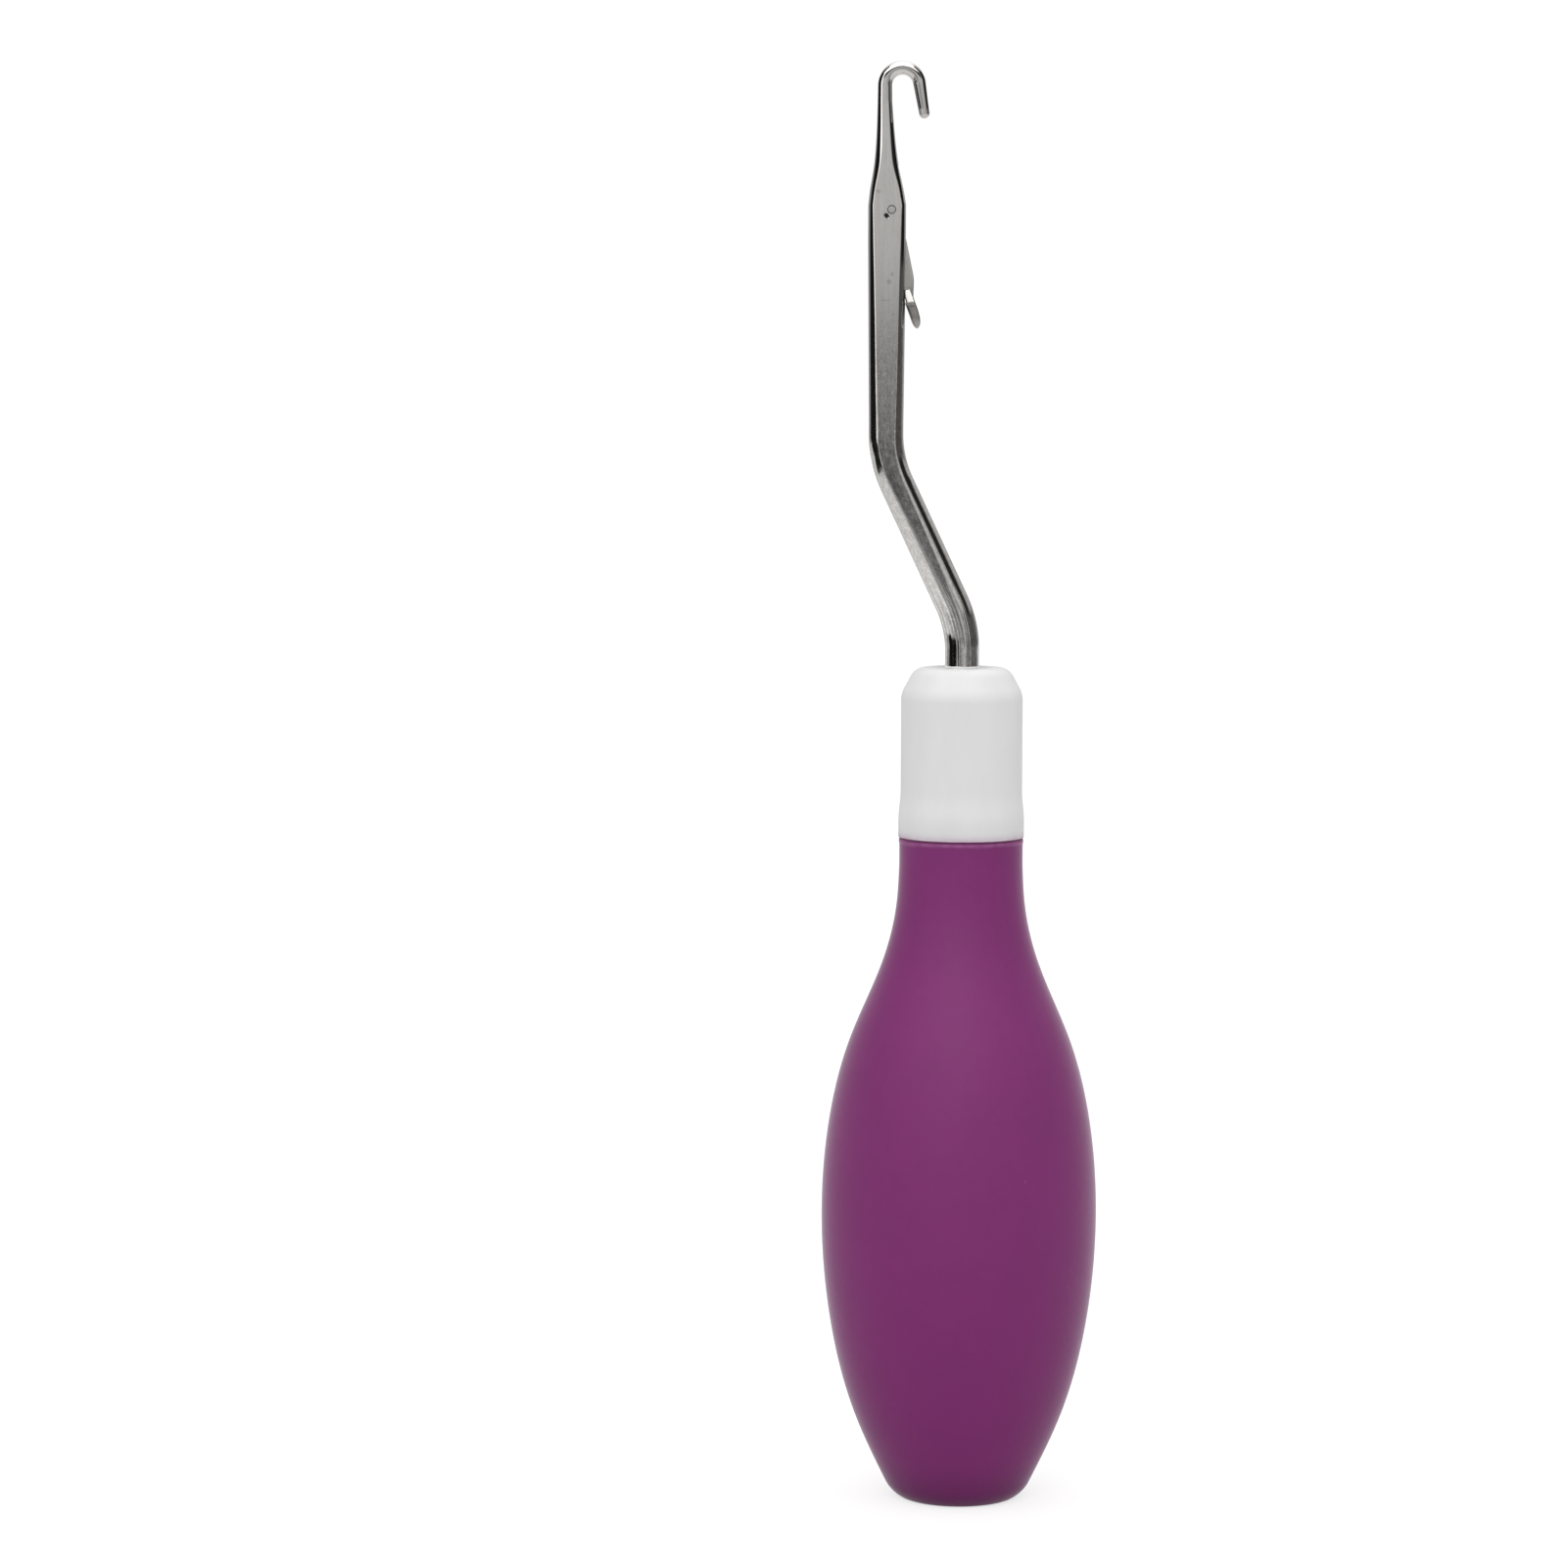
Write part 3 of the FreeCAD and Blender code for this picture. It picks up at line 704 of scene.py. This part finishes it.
def scaled(tree, tint, value):
    return put(tree, "ShaderNodeVectorMath", {0: tint, "Scale": value}, operation="SCALE").outputs[0]


def tinted(tree, value, red, blue):
    """Grey of that value with its red and blue scaled."""
    return put(tree, "ShaderNodeCombineColor", {0: calc(tree, "MULTIPLY", value, red), 1: value,
                                                2: calc(tree, "MULTIPLY", value, blue)}).outputs[0]


# ---------------------------------------------------------------- materials
# Heights between which a zone of the steel fades in, m
LOW_ZONE, FOOT_ZONE, HOOK_ZONE = (0.1400, 0.1310), (0.1090, 0.1010), (0.1520, 0.1560)
SCRATCH = (-9.16, 130.1)
STEEL_TONE, BLACK, WHITE = 0.69, 0.01, (1, 1, 1, 1)
GRIP_TINT, LIP_HIGHLIGHT_TINT, GRIP_REFLECTION_TINT, JOINT_SHADE_TINT = ((0.231, 0.0195, 0.171), (0.46, 0.17, 0.37, 1),
                                              (0.50, 0.27, 0.43, 1), (0.32, 0.06, 0.22, 1))
FERRULE_TINT, SEALANT_TINT = (0.90, 0.895, 0.905), (0.78, 0.78, 0.77)


def steel_material():
    """Nickel-plated bar: drawn lines along it, mottled low down, cleaner at the head, polished hook."""
    mat, tree, bsdf = material("plated_steel", 0.18, 1.0)
    place = put(tree, "ShaderNodeTexCoord").outputs["Object"]
    grain = put(tree, "ShaderNodeAttribute", attribute_name="grain").outputs["Vector"]
    lines = noise(tree, stretch(tree, grain, (4.0, 4.0, 0.10)), 1.0, 4.0, 0.6)
    hair = noise(tree, stretch(tree, grain, (20.0, 20.0, 0.7)), 1.0, 2.0, 0.5)
    spots = noise(tree, stretch(tree, grain, (2.4, 2.4, 1.5)), 1.0, 3.0, 0.6)
    grit = noise(tree, stretch(tree, grain, (6.0, 6.0, 4.0)), 1.0, 2.0, 0.6)
    streak = noise(tree, stretch(tree, grain, (4.0, 4.0, 0.12)), 1.0, 1.0, 0.4)
    height = put(tree, "ShaderNodeSeparateXYZ", {0: place}).outputs[2]
    low = fit(tree, height, *LOW_ZONE, 0.0, 1.0, True)
    foot = fit(tree, height, *FOOT_ZONE, 0.0, 1.0, True)
    hook = fit(tree, height, *HOOK_ZONE, 0.0, 1.0, True)

    tone = fit(tree, lines, 0.3, 0.7, -0.05, 0.05)
    tone = calc(tree, "ADD", tone, fit(tree, hair, 0.3, 0.7, -0.03, 0.03))
    wear_and_shade = calc(tree, "ADD", fit(tree, spots, 0.3, 0.7, -0.10, 0.10), fit(tree, grit, 0.3, 0.7, -0.13, 0.13))
    tone = calc(tree, "ADD", tone, calc(tree, "MULTIPLY", wear_and_shade, fit(tree, low, 0.0, 1.0, 0.10, 1.0)))
    thread = noise(tree, stretch(tree, grain, (1.3, 1.3, 0.16)), 1.0, 2.0, 0.5)
    thread = ramp(tree, thread, [(0.494, 0.0), (0.5, 1.0), (0.506, 0.0)])
    thread = calc(tree, "MULTIPLY", thread, fit(tree, spots, 0.50, 0.60, 0.0, 1.0, True))
    thread = calc(tree, "MULTIPLY", thread, low)
    tone = calc(tree, "ADD", tone, calc(tree, "MULTIPLY", thread, 0.22))
    tone = calc(tree, "ADD", tone, calc(tree, "MULTIPLY", foot, fit(tree, streak, 0.38, 0.62, -0.21, 0.23)))
    x, z = SCRATCH
    turned = put(tree, "ShaderNodeVectorRotate",
                 {"Vector": place, "Center": (x * MM, 0.0, z * MM), "Angle": math.radians(25)},
                 rotation_type="Y_AXIS").outputs[0]
    tone = calc(tree, "ADD", tone, spot(tree, turned, (x, -1.6, z), (0.45, 2.0, 0.10), 0.30))
    marks = None
    for centre, size in (
        ((-8.30, -1.5, 141.45), (0.34, 2.0, 0.42)),
        ((-8.66, -1.5, 140.6), (0.46, 2.0, 0.52)),
        ((-9.1, -1.6, 138.5), (1.10, 2.0, 0.12)),
        ((-9.6, -1.5, 134.4), (0.24, 2.0, 0.20)),
        ((-8.1, -1.5, 136.9), (0.20, 2.0, 0.20)),
        ((-9.9, -1.3, 150.85), (0.50, 2.0, 0.36)),
        ((-9.4, -1.5, 128.0), (0.55, 2.0, 0.10)),
    ):
        one = spot(tree, place, centre, size)
        marks = one if marks is None else calc(tree, "MAXIMUM", marks, one)
    tone = calc(tree, "SUBTRACT", tone, calc(tree, "MULTIPLY", marks, fit(tree, grit, 0.3, 0.7, 0.12, 0.24)))
    flat_place = stretch(tree, place, (1.0, 0.0, 1.0))
    off = put(tree, "ShaderNodeVectorMath",
              {0: flat_place, 1: (PIVOT[0] * MM, 0.0, PIVOT[1] * MM)}, operation="DISTANCE").outputs["Value"]
    seam = ramp(tree, calc(tree, "DIVIDE", off, 1.0 * MM),
                [(0.37, 0.0), (0.43, 1.0), (0.48, 1.0), (0.54, 0.0)])
    x, z = PIVOT[0] + DENT[0], PIVOT[1] + DENT[1]
    turned = put(tree, "ShaderNodeVectorRotate",
                 {"Vector": flat_place, "Center": (x * MM, 0.0, z * MM), "Angle": math.radians(-45)},
                 rotation_type="Y_AXIS").outputs[0]
    # painted shade: the base colour is darkened inside the punched dent beside the rivet
    dent = spot(tree, turned, (x, 0.0, z), (0.52, 1.0, 0.34))
    dent = calc(tree, "MINIMUM", calc(tree, "MULTIPLY", dent, 1.3), 0.86)
    # the dark seam ring round the rivet plus the painted shade in the dent
    seam_and_dent_shade = calc(tree, "MAXIMUM", calc(tree, "MULTIPLY", seam, 0.74), dent, True)

    value = calc(tree, "ADD", tone, STEEL_TONE)
    value = calc(tree, "MULTIPLY", value, calc(tree, "SUBTRACT", 1.0, seam_and_dent_shade))
    tree.links.new(tinted(tree, value, 1.03, 0.97), bsdf.inputs["Base Color"])
    rough = calc(tree, "ADD", fit(tree, lines, 0.3, 0.7, 0.08, 0.12),
                 calc(tree, "MULTIPLY", low, fit(tree, spots, 0.35, 0.65, -0.02, 0.03)))
    rough = calc(tree, "SUBTRACT", rough, calc(tree, "MULTIPLY", calc(tree, "MAXIMUM", hook, foot), 0.05))
    tip = spot(tree, place, (-4.73, 0.0, 159.5), (1.4, 2.0, 1.15))
    rough = calc(tree, "ADD", rough, fit(tree, tip, 0.12, 0.24, 0.0, 0.34, True))
    tree.links.new(rough, bsdf.inputs["Roughness"])
    drawn = calc(tree, "MULTIPLY", streak, calc(tree, "ADD", calc(tree, "MULTIPLY", low, 0.3),
                                                calc(tree, "MULTIPLY", foot, 5.0)))
    relief = calc(tree, "ADD", calc(tree, "ADD", drawn, calc(tree, "MULTIPLY", lines, 0.02)),
                  calc(tree, "MULTIPLY", grit, fit(tree, low, 0.0, 1.0, 0.0, 0.014)))
    bump(tree, bsdf, relief, 0.012)
    return mat


def latch_material():
    """Ground latch with fine lines; the spoon has painted shade, darker towards its inner edge, and is
    lighter towards its lower end.
    """
    mat, tree, bsdf = material("latch_steel", 0.2, 1.0)
    place = put(tree, "ShaderNodeTexCoord").outputs["Object"]
    fine = noise(tree, stretch(tree, place, (9000.0, 9000.0, 700.0)), 1.0, 3.0, 0.6)
    cloud = noise(tree, stretch(tree, place, (1500.0, 1500.0, 900.0)), 1.0, 4.0, 0.6)
    height = put(tree, "ShaderNodeSeparateXYZ", {0: place}).outputs[2]
    off = put(tree, "ShaderNodeVectorMath", {0: place, 1: (PIVOT[0] * MM, 0.0, PIVOT[1] * MM)},
              operation="SUBTRACT").outputs[0]
    lean = math.radians(LATCH_ANGLE)
    across = put(tree, "ShaderNodeVectorMath", {0: off, 1: (math.cos(lean), 0.0, math.sin(lean))},
                 operation="DOT_PRODUCT").outputs["Value"]
    # painted shade across the spoon: darker at its inner edge, lighter at its outer edge
    shade = fit(tree, across, -0.52 * MM, 0.10 * MM, 0.30, 0.58, True)
    wear_and_shade = blend(tree, fit(tree, height, 0.1384, 0.1379, 0.0, 1.0, True), WHITE, shade)
    # the spoon is made lighter towards its lower end
    wear_and_shade = calc(tree, "MAXIMUM", wear_and_shade, fit(tree, height, 0.1362, 0.1353, 0.30, 0.80, True))
    facet = calc(tree, "MULTIPLY", fit(tree, height, 0.1401, 0.1399, 0.0, 1.0),
                 fit(tree, height, 0.1382, 0.1384, 0.0, 1.0))
    value = calc(tree, "ADD", fit(tree, fine, 0.3, 0.7, -0.03, 0.03), fit(tree, cloud, 0.3, 0.7, 0.60, 0.70))
    value = calc(tree, "MULTIPLY", value, wear_and_shade)
    value = calc(tree, "SUBTRACT", value, calc(tree, "MULTIPLY", facet, 0.14))
    tree.links.new(tinted(tree, value, 1.04, 0.95), bsdf.inputs["Base Color"])
    rough = calc(tree, "SUBTRACT", fit(tree, cloud, 0.3, 0.7, 0.13, 0.20),
                 calc(tree, "MULTIPLY", facet, 0.07))
    rough = calc(tree, "MAXIMUM", rough, fit(tree, height, 0.1382, 0.1376, 0.0, 0.34))
    tree.links.new(rough, bsdf.inputs["Roughness"])
    bump(tree, bsdf, fine, 0.001)
    return mat


def grip_material():
    """Soft matte thermoplastic rubber: fine tooth, faint clouding, a few small nicks, a painted highlight
    along the lip and painted shade under the collar and towards the base.
    """
    mat, tree, bsdf = material("soft_grip", 0.55)
    place = put(tree, "ShaderNodeTexCoord").outputs["Object"]
    cloud = noise(tree, place, 130.0, 4.0, 0.6)
    tooth = noise(tree, place, 5200.0, 2.0, 0.6)
    mottle = noise(tree, place, 1100.0, 3.0, 0.6)
    nicks = None
    for centre, size in (
        ((0.0, -12.2, 13.2), (0.40, 1.5, 0.18)),
        ((7.0, -13.6, 39.2), (0.25, 1.5, 0.25)),
        ((12.3, -9.0, 26.4), (0.20, 1.5, 0.30)),
        ((-13.2, -7.6, 27.5), (0.20, 1.5, 0.20)),
    ):
        one = spot(tree, place, centre, size)
        nicks = one if nicks is None else calc(tree, "MAXIMUM", nicks, one)
    height = put(tree, "ShaderNodeSeparateXYZ", {0: place}).outputs[2]
    waves = noise(tree, place, 260.0, 3.0, 0.6)
    wavy = calc(tree, "ADD", height, fit(tree, waves, 0.3, 0.7, -0.00010, 0.00010))
    # painted highlight: a light, slightly wavy line along the grip's rounded lip
    lip_highlight = ramp(tree, calc(tree, "DIVIDE", wavy, 0.1),
                [(0.7634, 0.0), (0.7643, 1.0), (0.7653, 1.0), (0.7662, 0.0)])
    lip_highlight = calc(tree, "MULTIPLY", lip_highlight, fit(tree, mottle, 0.3, 0.6, 0.35, 0.75))
    # painted shade at the top of the lip, in the gap under the collar
    gap_shade = fit(tree, height, 0.07665, 0.07688, 0.0, 0.15)
    value = calc(tree, "ADD", fit(tree, cloud, 0.3, 0.7, 0.965, 1.035),
                 fit(tree, mottle, 0.3, 0.7, -0.02, 0.02))
    # painted shade: the grip is darkened towards its base, near the floor
    value = calc(tree, "MULTIPLY", calc(tree, "SUBTRACT", value, gap_shade),
                 fit(tree, height, 0.0005, 0.0060, 0.74, 1.0, True))
    value = calc(tree, "ADD", value, calc(tree, "MULTIPLY", nicks, 0.50))
    base = scaled(tree, GRIP_TINT, value)
    base = blend(tree, lip_highlight, base, LIP_HIGHLIGHT_TINT)
    tree.links.new(base, bsdf.inputs["Base Color"])
    tree.links.new(fit(tree, mottle, 0.3, 0.7, 0.50, 0.58), bsdf.inputs["Roughness"])
    bsdf.inputs["Specular IOR Level"].default_value = 0.35
    bsdf.inputs["Sheen Weight"].default_value = 0.74
    bsdf.inputs["Sheen Roughness"].default_value = 0.30
    bsdf.inputs["Sheen Tint"].default_value = (1.0, 0.92, 0.98, 1)
    relief = calc(tree, "SUBTRACT", calc(tree, "ADD", tooth, calc(tree, "MULTIPLY", mottle, 0.8)),
                  calc(tree, "MULTIPLY", nicks, 4.0))
    bump(tree, bsdf, relief, 0.006)
    return mat


def white_material(name, tint, rough):
    """White moulded plastic with a faint flow pattern; along its lower edge a painted purple reflection of
    the grip, painted shade towards the bottom and a painted dark line of shade at the joint.
    """
    mat, tree, bsdf = material(name, rough)
    place = put(tree, "ShaderNodeTexCoord").outputs["Object"]
    cloud = noise(tree, stretch(tree, place, (260.0, 260.0, 90.0)), 1.0, 4.0, 0.55)
    tooth = noise(tree, place, 3800.0, 2.0, 0.5)
    smear = noise(tree, stretch(tree, place, (420.0, 420.0, 900.0)), 1.0, 3.0, 0.6)
    height = put(tree, "ShaderNodeSeparateXYZ", {0: place}).outputs[2]
    # painted reflection: the purple grip tints the collar's lower edge
    grip_reflection = fit(tree, height, (CORE_TOP + 1.1) * MM, CORE_TOP * MM, 0.0, 1.0)
    grip_reflection = calc(tree, "MULTIPLY", calc(tree, "MULTIPLY", grip_reflection, grip_reflection),
                 fit(tree, smear, 0.35, 0.65, 0.45, 0.85))
    # painted shade: the white is darker towards the collar's lower edge
    value = calc(tree, "MULTIPLY", fit(tree, cloud, 0.3, 0.7, 0.975, 1.02),
                 fit(tree, height, CORE_TOP * MM, (CORE_TOP + 3.0) * MM, 0.93, 1.0))
    base = scaled(tree, tint, value)
    base = blend(tree, grip_reflection, base, GRIP_REFLECTION_TINT)
    # painted shade: a dark purple line along the collar's bottom edge, where it meets the grip
    rim = fit(tree, height, (CORE_TOP + 0.17) * MM, (CORE_TOP + 0.03) * MM, 0.0, 0.8, True)
    base = blend(tree, rim, base, JOINT_SHADE_TINT)
    bsdf.inputs["Specular IOR Level"].default_value = 0.32
    tree.links.new(base, bsdf.inputs["Base Color"])
    tree.links.new(fit(tree, cloud, 0.3, 0.7, rough - 0.04, rough + 0.05), bsdf.inputs["Roughness"])
    bump(tree, bsdf, tooth, 0.002)
    return mat


# ---------------------------------------------------------------- build
def dress(obj, nodes, body, mat):
    """Gives the piece its material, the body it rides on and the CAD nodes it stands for."""
    obj.data.materials.clear()
    obj.data.materials.append(mat)
    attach(obj, body)
    if nodes:
        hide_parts(*nodes)


steel = steel_material()
latch_steel = latch_material()
grip_mat = grip_material()
white = white_material("white_ferrule", FERRULE_TINT, 0.42)
sealant = white_material("sealant", SEALANT_TINT, 0.45)
dress(make_grip(), ["grip_shell"], "handle", grip_mat)
dress(make_collar(), ["collar"], "handle", white)
dress(make_bead(), ["shank_bead"], "handle", sealant)
dress(make_plug(), ["end_plug"], "handle", grip_mat)
dress(make_shank(), ["hook_shank"], "handle", steel)
dress(make_rivet(), ["latch_rivet"], "handle", steel)
dress(make_latch(), ["latch"], "latch", latch_steel)
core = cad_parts["handle_core"]
core.data.materials.clear()
core.data.materials.append(grip_mat)


# ---------------------------------------------------------------- stage and light
FLOOR_TONE, FLOOR_SEEN, FLOOR_MIRRORED = 0.42, 0.70, 0.36


def make_stage():
    """White floor that keeps the tool's soft shadow."""
    bpy.ops.mesh.primitive_plane_add(size=12, location=(0, 0, 0))
    floor = bpy.context.object
    floor.name = "floor"
    mat, tree, bsdf = material("floor", 0.9)
    bsdf.inputs["Base Color"].default_value = (FLOOR_TONE, FLOOR_TONE, FLOOR_TONE, 1)
    bsdf.inputs["Specular IOR Level"].default_value = 0.0
    bsdf.inputs["Emission Color"].default_value = WHITE
    path = put(tree, "ShaderNodeLightPath").outputs
    glow = calc(tree, "ADD", calc(tree, "MULTIPLY", path["Is Camera Ray"], FLOOR_SEEN),
                calc(tree, "MULTIPLY", path["Is Glossy Ray"], FLOOR_MIRRORED))
    tree.links.new(glow, bsdf.inputs["Emission Strength"])
    floor.data.materials.append(mat)


TENT_R, TENT_H = 0.5, 0.95
SKIRT_INNER, SKIRT_Z = 0.27, 0.001


def for_reflections(obj):
    """Stage piece that nothing but a reflection shows."""
    for kind in ("camera", "diffuse", "shadow", "transmission", "volume_scatter"):
        setattr(obj, "visible_" + kind, False)


def make_flag(name, rows, radius):
    """Black card bent round the tool; rows are (height, first azimuth, last azimuth)."""
    steps, verts, faces = 32, [], []
    for z, first, last in rows:
        for i in range(steps + 1):
            a = math.radians(first + (last - first) * i / steps)
            verts.append((radius * math.sin(a), -radius * math.cos(a), z))
    for k in range(len(rows) - 1):
        for i in range(steps):
            j = k * (steps + 1) + i
            faces.append((j, j + 1, j + steps + 2, j + steps + 1))
    flag = new_object(name, verts, faces)
    mat = bpy.data.materials.new(name)
    mat.use_nodes = True
    mat.node_tree.nodes.clear()
    glow = put(mat.node_tree, "ShaderNodeEmission", {"Color": (BLACK, BLACK, BLACK, 1)})
    put(mat.node_tree, "ShaderNodeOutputMaterial", {0: glow.outputs[0]})
    flag.data.materials.append(mat)
    for_reflections(flag)


def make_tent():
    """Light tent: grey front, dark sides, a bright strip at the left and a skirt on the floor."""
    seg = 96
    verts, faces = [], []
    for r, z in ((SKIRT_INNER, SKIRT_Z), (TENT_R, SKIRT_Z), (TENT_R, TENT_H)):
        for i in range(seg):
            a = 2 * math.pi * i / seg
            verts.append((r * math.cos(a), r * math.sin(a), z))
    for k in (0, seg):
        for i in range(seg):
            j = (i + 1) % seg
            faces.append((k + i, k + j, k + seg + j, k + seg + i))
    tent = new_object("tent", verts, faces)
    mat = bpy.data.materials.new("tent")
    mat.use_nodes = True
    tree = mat.node_tree
    tree.nodes.clear()
    place = put(tree, "ShaderNodeTexCoord").outputs["Object"]
    xyz = put(tree, "ShaderNodeSeparateXYZ", {0: place}).outputs
    angle = calc(tree, "ARCTAN2", xyz[0], calc(tree, "MULTIPLY", xyz[1], -1.0))
    turn = calc(tree, "ADD", calc(tree, "DIVIDE", angle, 2 * math.pi), 0.5)
    height = calc(tree, "DIVIDE", xyz[2], TENT_H)

    def around(stops):
        return ramp(tree, turn, [((a + 180) / 360, v) for a, v in stops])

    def up(stops):
        return ramp(tree, height, [(h / TENT_H, v) for h, v in stops])

    high = around([(-180, 0.9), (-165, 0.5), (-150, 0.42), (-130, 0.3), (-124, BLACK), (-69, BLACK),
                   (-66, 1.0), (-51, 1.0), (-46, 0.5), (-30, 0.6), (30, 0.5), (60, 0.09), (98, 0.08),
                   (120, 0.12), (134, 0.34), (165, 0.5), (180, 0.9)])
    upper = around([(-180, 0.2), (-165, 0.3), (-130, 0.3), (-124, BLACK), (-69, BLACK), (-66, 1.0),
                    (-51, 1.0), (-46, 0.5), (-30, 0.6), (45, 0.42), (58, 0.38), (66, 0.02), (96, 0.02),
                    (104, 0.34), (120, 0.5), (150, 0.5), (168, 0.3), (180, 0.2)])
    high = blend(tree, fit(tree, xyz[2], 0.20, 0.24, 0.0, 1.0, True), high, upper)
    strip = around([(-180, 0.0), (-69, 0.0), (-66, 1.0), (-51, 1.0), (-46, 0.0), (180, 0.0)])
    strip = calc(tree, "MULTIPLY", strip,
                 up([(0.0, 0.0), (0.12, 0.1), (0.15, 0.65), (0.175, 0.65), (0.185, 0.8), (0.205, 0.6),
                     (TENT_H, 0.6)]))
    high = calc(tree, "ADD", high, strip)
    low = around([(-180, 0.7), (-112, 0.65), (-100, 0.01), (-36, 0.012), (-31, 0.75), (-12, 0.45), (0, 0.45),
                  (36, 0.35), (60, 0.20), (105, 0.10), (118, 0.6), (180, 1.0)])
    deep = around([(-180, 0.6), (-100, 0.6), (-80, 0.45), (-30, 0.42), (36, 0.42), (60, 0.22), (100, 0.12),
                   (118, 0.6), (180, 1.0)])
    deep = blend(tree, fit(tree, xyz[2], 0.003, 0.006, 0.0, 1.0), (0.7, 0.7, 0.7, 1), deep)
    low = blend(tree, fit(tree, xyz[2], 0.040, 0.055, 0.0, 1.0, True), deep, low)
    side = blend(tree, fit(tree, xyz[2], 0.080, 0.096, 0.0, 1.0, True), low, high)
    front = up([(0.0, 0.55), (0.03, 0.50), (0.066, 0.46), (0.085, 0.22), (0.110, 0.100),
                (0.1223, 0.128), (0.1286, 0.215), (0.135, 0.30), (0.1436, 0.42), (0.150, 0.465),
                (0.1565, 0.505), (0.163, 0.525), (0.170, 0.545), (0.20, 0.58), (0.30, 0.60),
                (0.32, 0.005), (0.47, 0.005), (0.485, 1.0), (TENT_H, 1.0)])
    across = around([(-180, 0.7), (-20, 0.7), (20, 1.18), (180, 1.18)])
    front = calc(tree, "MULTIPLY", front,
                 blend(tree, fit(tree, xyz[2], 0.112, 0.125, 0.0, 1.0, True), across, (1, 1, 1, 1)))
    narrow = around([(-180, 0.0), (-26, 0.0), (-15, 1.0), (15, 1.0), (26, 0.0), (180, 0.0)])
    wide = around([(-180, 0.0), (-47, 0.0), (-40, 1.0), (46, 1.0), (60, 0.0), (180, 0.0)])
    mask = blend(tree, fit(tree, xyz[2], 0.18, 0.22, 0.0, 1.0, True), narrow, wide)
    value = blend(tree, mask, side, front)
    bright = calc(tree, "MULTIPLY", around([(-180, 1.0), (-124, 0.0), (-82, 0.0), (-76, 1.0), (44, 1.0),
                                            (60, 0.0), (140, 0.0), (160, 1.0), (180, 1.0)]),
                  fit(tree, xyz[2], 0.475, 0.51, 0.0, 1.0, True))
    value = blend(tree, bright, value, (1, 1, 1, 1))
    value = calc(tree, "ADD", value, calc(tree, "MULTIPLY", bright, 0.9))
    glow = put(tree, "ShaderNodeEmission", {"Color": value, "Strength": 1.0})
    put(tree, "ShaderNodeOutputMaterial", {0: glow.outputs[0]})
    tent.data.materials.append(mat)
    for_reflections(tent)
    make_flag("flag_left", [(0.0529, -104, -86), (0.0575, -106, -74), (0.0625, -107, -66), (0.075, -101, -40),
                            (0.0865, -100, -28), (0.0895, -105, -60), (0.100, -112, -66), (0.109, -118, -70),
                            (0.118, -122, -71), (0.30, -122, -71)], 0.20)
    make_flag("flag_right", [(0.1430, 96, 124), (0.1445, 93, 130), (0.21, 93, 130)], 0.055)


def make_world():
    """White surroundings, brighter where a glossy surface mirrors them."""
    world = bpy.data.worlds.new("studio")
    bpy.context.scene.world = world
    world.use_nodes = True
    tree = world.node_tree
    path = put(tree, "ShaderNodeLightPath").outputs
    seen = calc(tree, "MAXIMUM", calc(tree, "MAXIMUM", path["Is Camera Ray"], path["Is Glossy Ray"]),
                path["Is Transmission Ray"])
    back = tree.nodes["Background"]
    back.inputs["Color"].default_value = (1, 1, 1, 1)
    level = calc(tree, "ADD", fit(tree, seen, 0.0, 1.0, 0.94, 1.0),
                 calc(tree, "MULTIPLY", path["Is Glossy Ray"], 0.5))
    tree.links.new(level, back.inputs["Strength"])


def area(name, power, size, place, look):
    """Rectangular lamp of that power (W) at place, turned towards look."""
    data = bpy.data.lights.new(name, "AREA")
    data.shape = "RECTANGLE"
    data.size, data.size_y = size
    data.energy = power
    lamp = bpy.data.objects.new(name, data)
    lamp.location = place
    lamp.rotation_euler = (Vector(look) - Vector(place)).to_track_quat("-Z", "Y").to_euler()
    bpy.context.scene.collection.objects.link(lamp)
    return lamp


make_stage()
make_tent()
make_world()
area("key", 1.3, (0.5, 0.5), (-0.14, -0.86, 0.68), (0, 0, 0.08))
bpy.context.scene.view_settings.view_transform = "Standard"
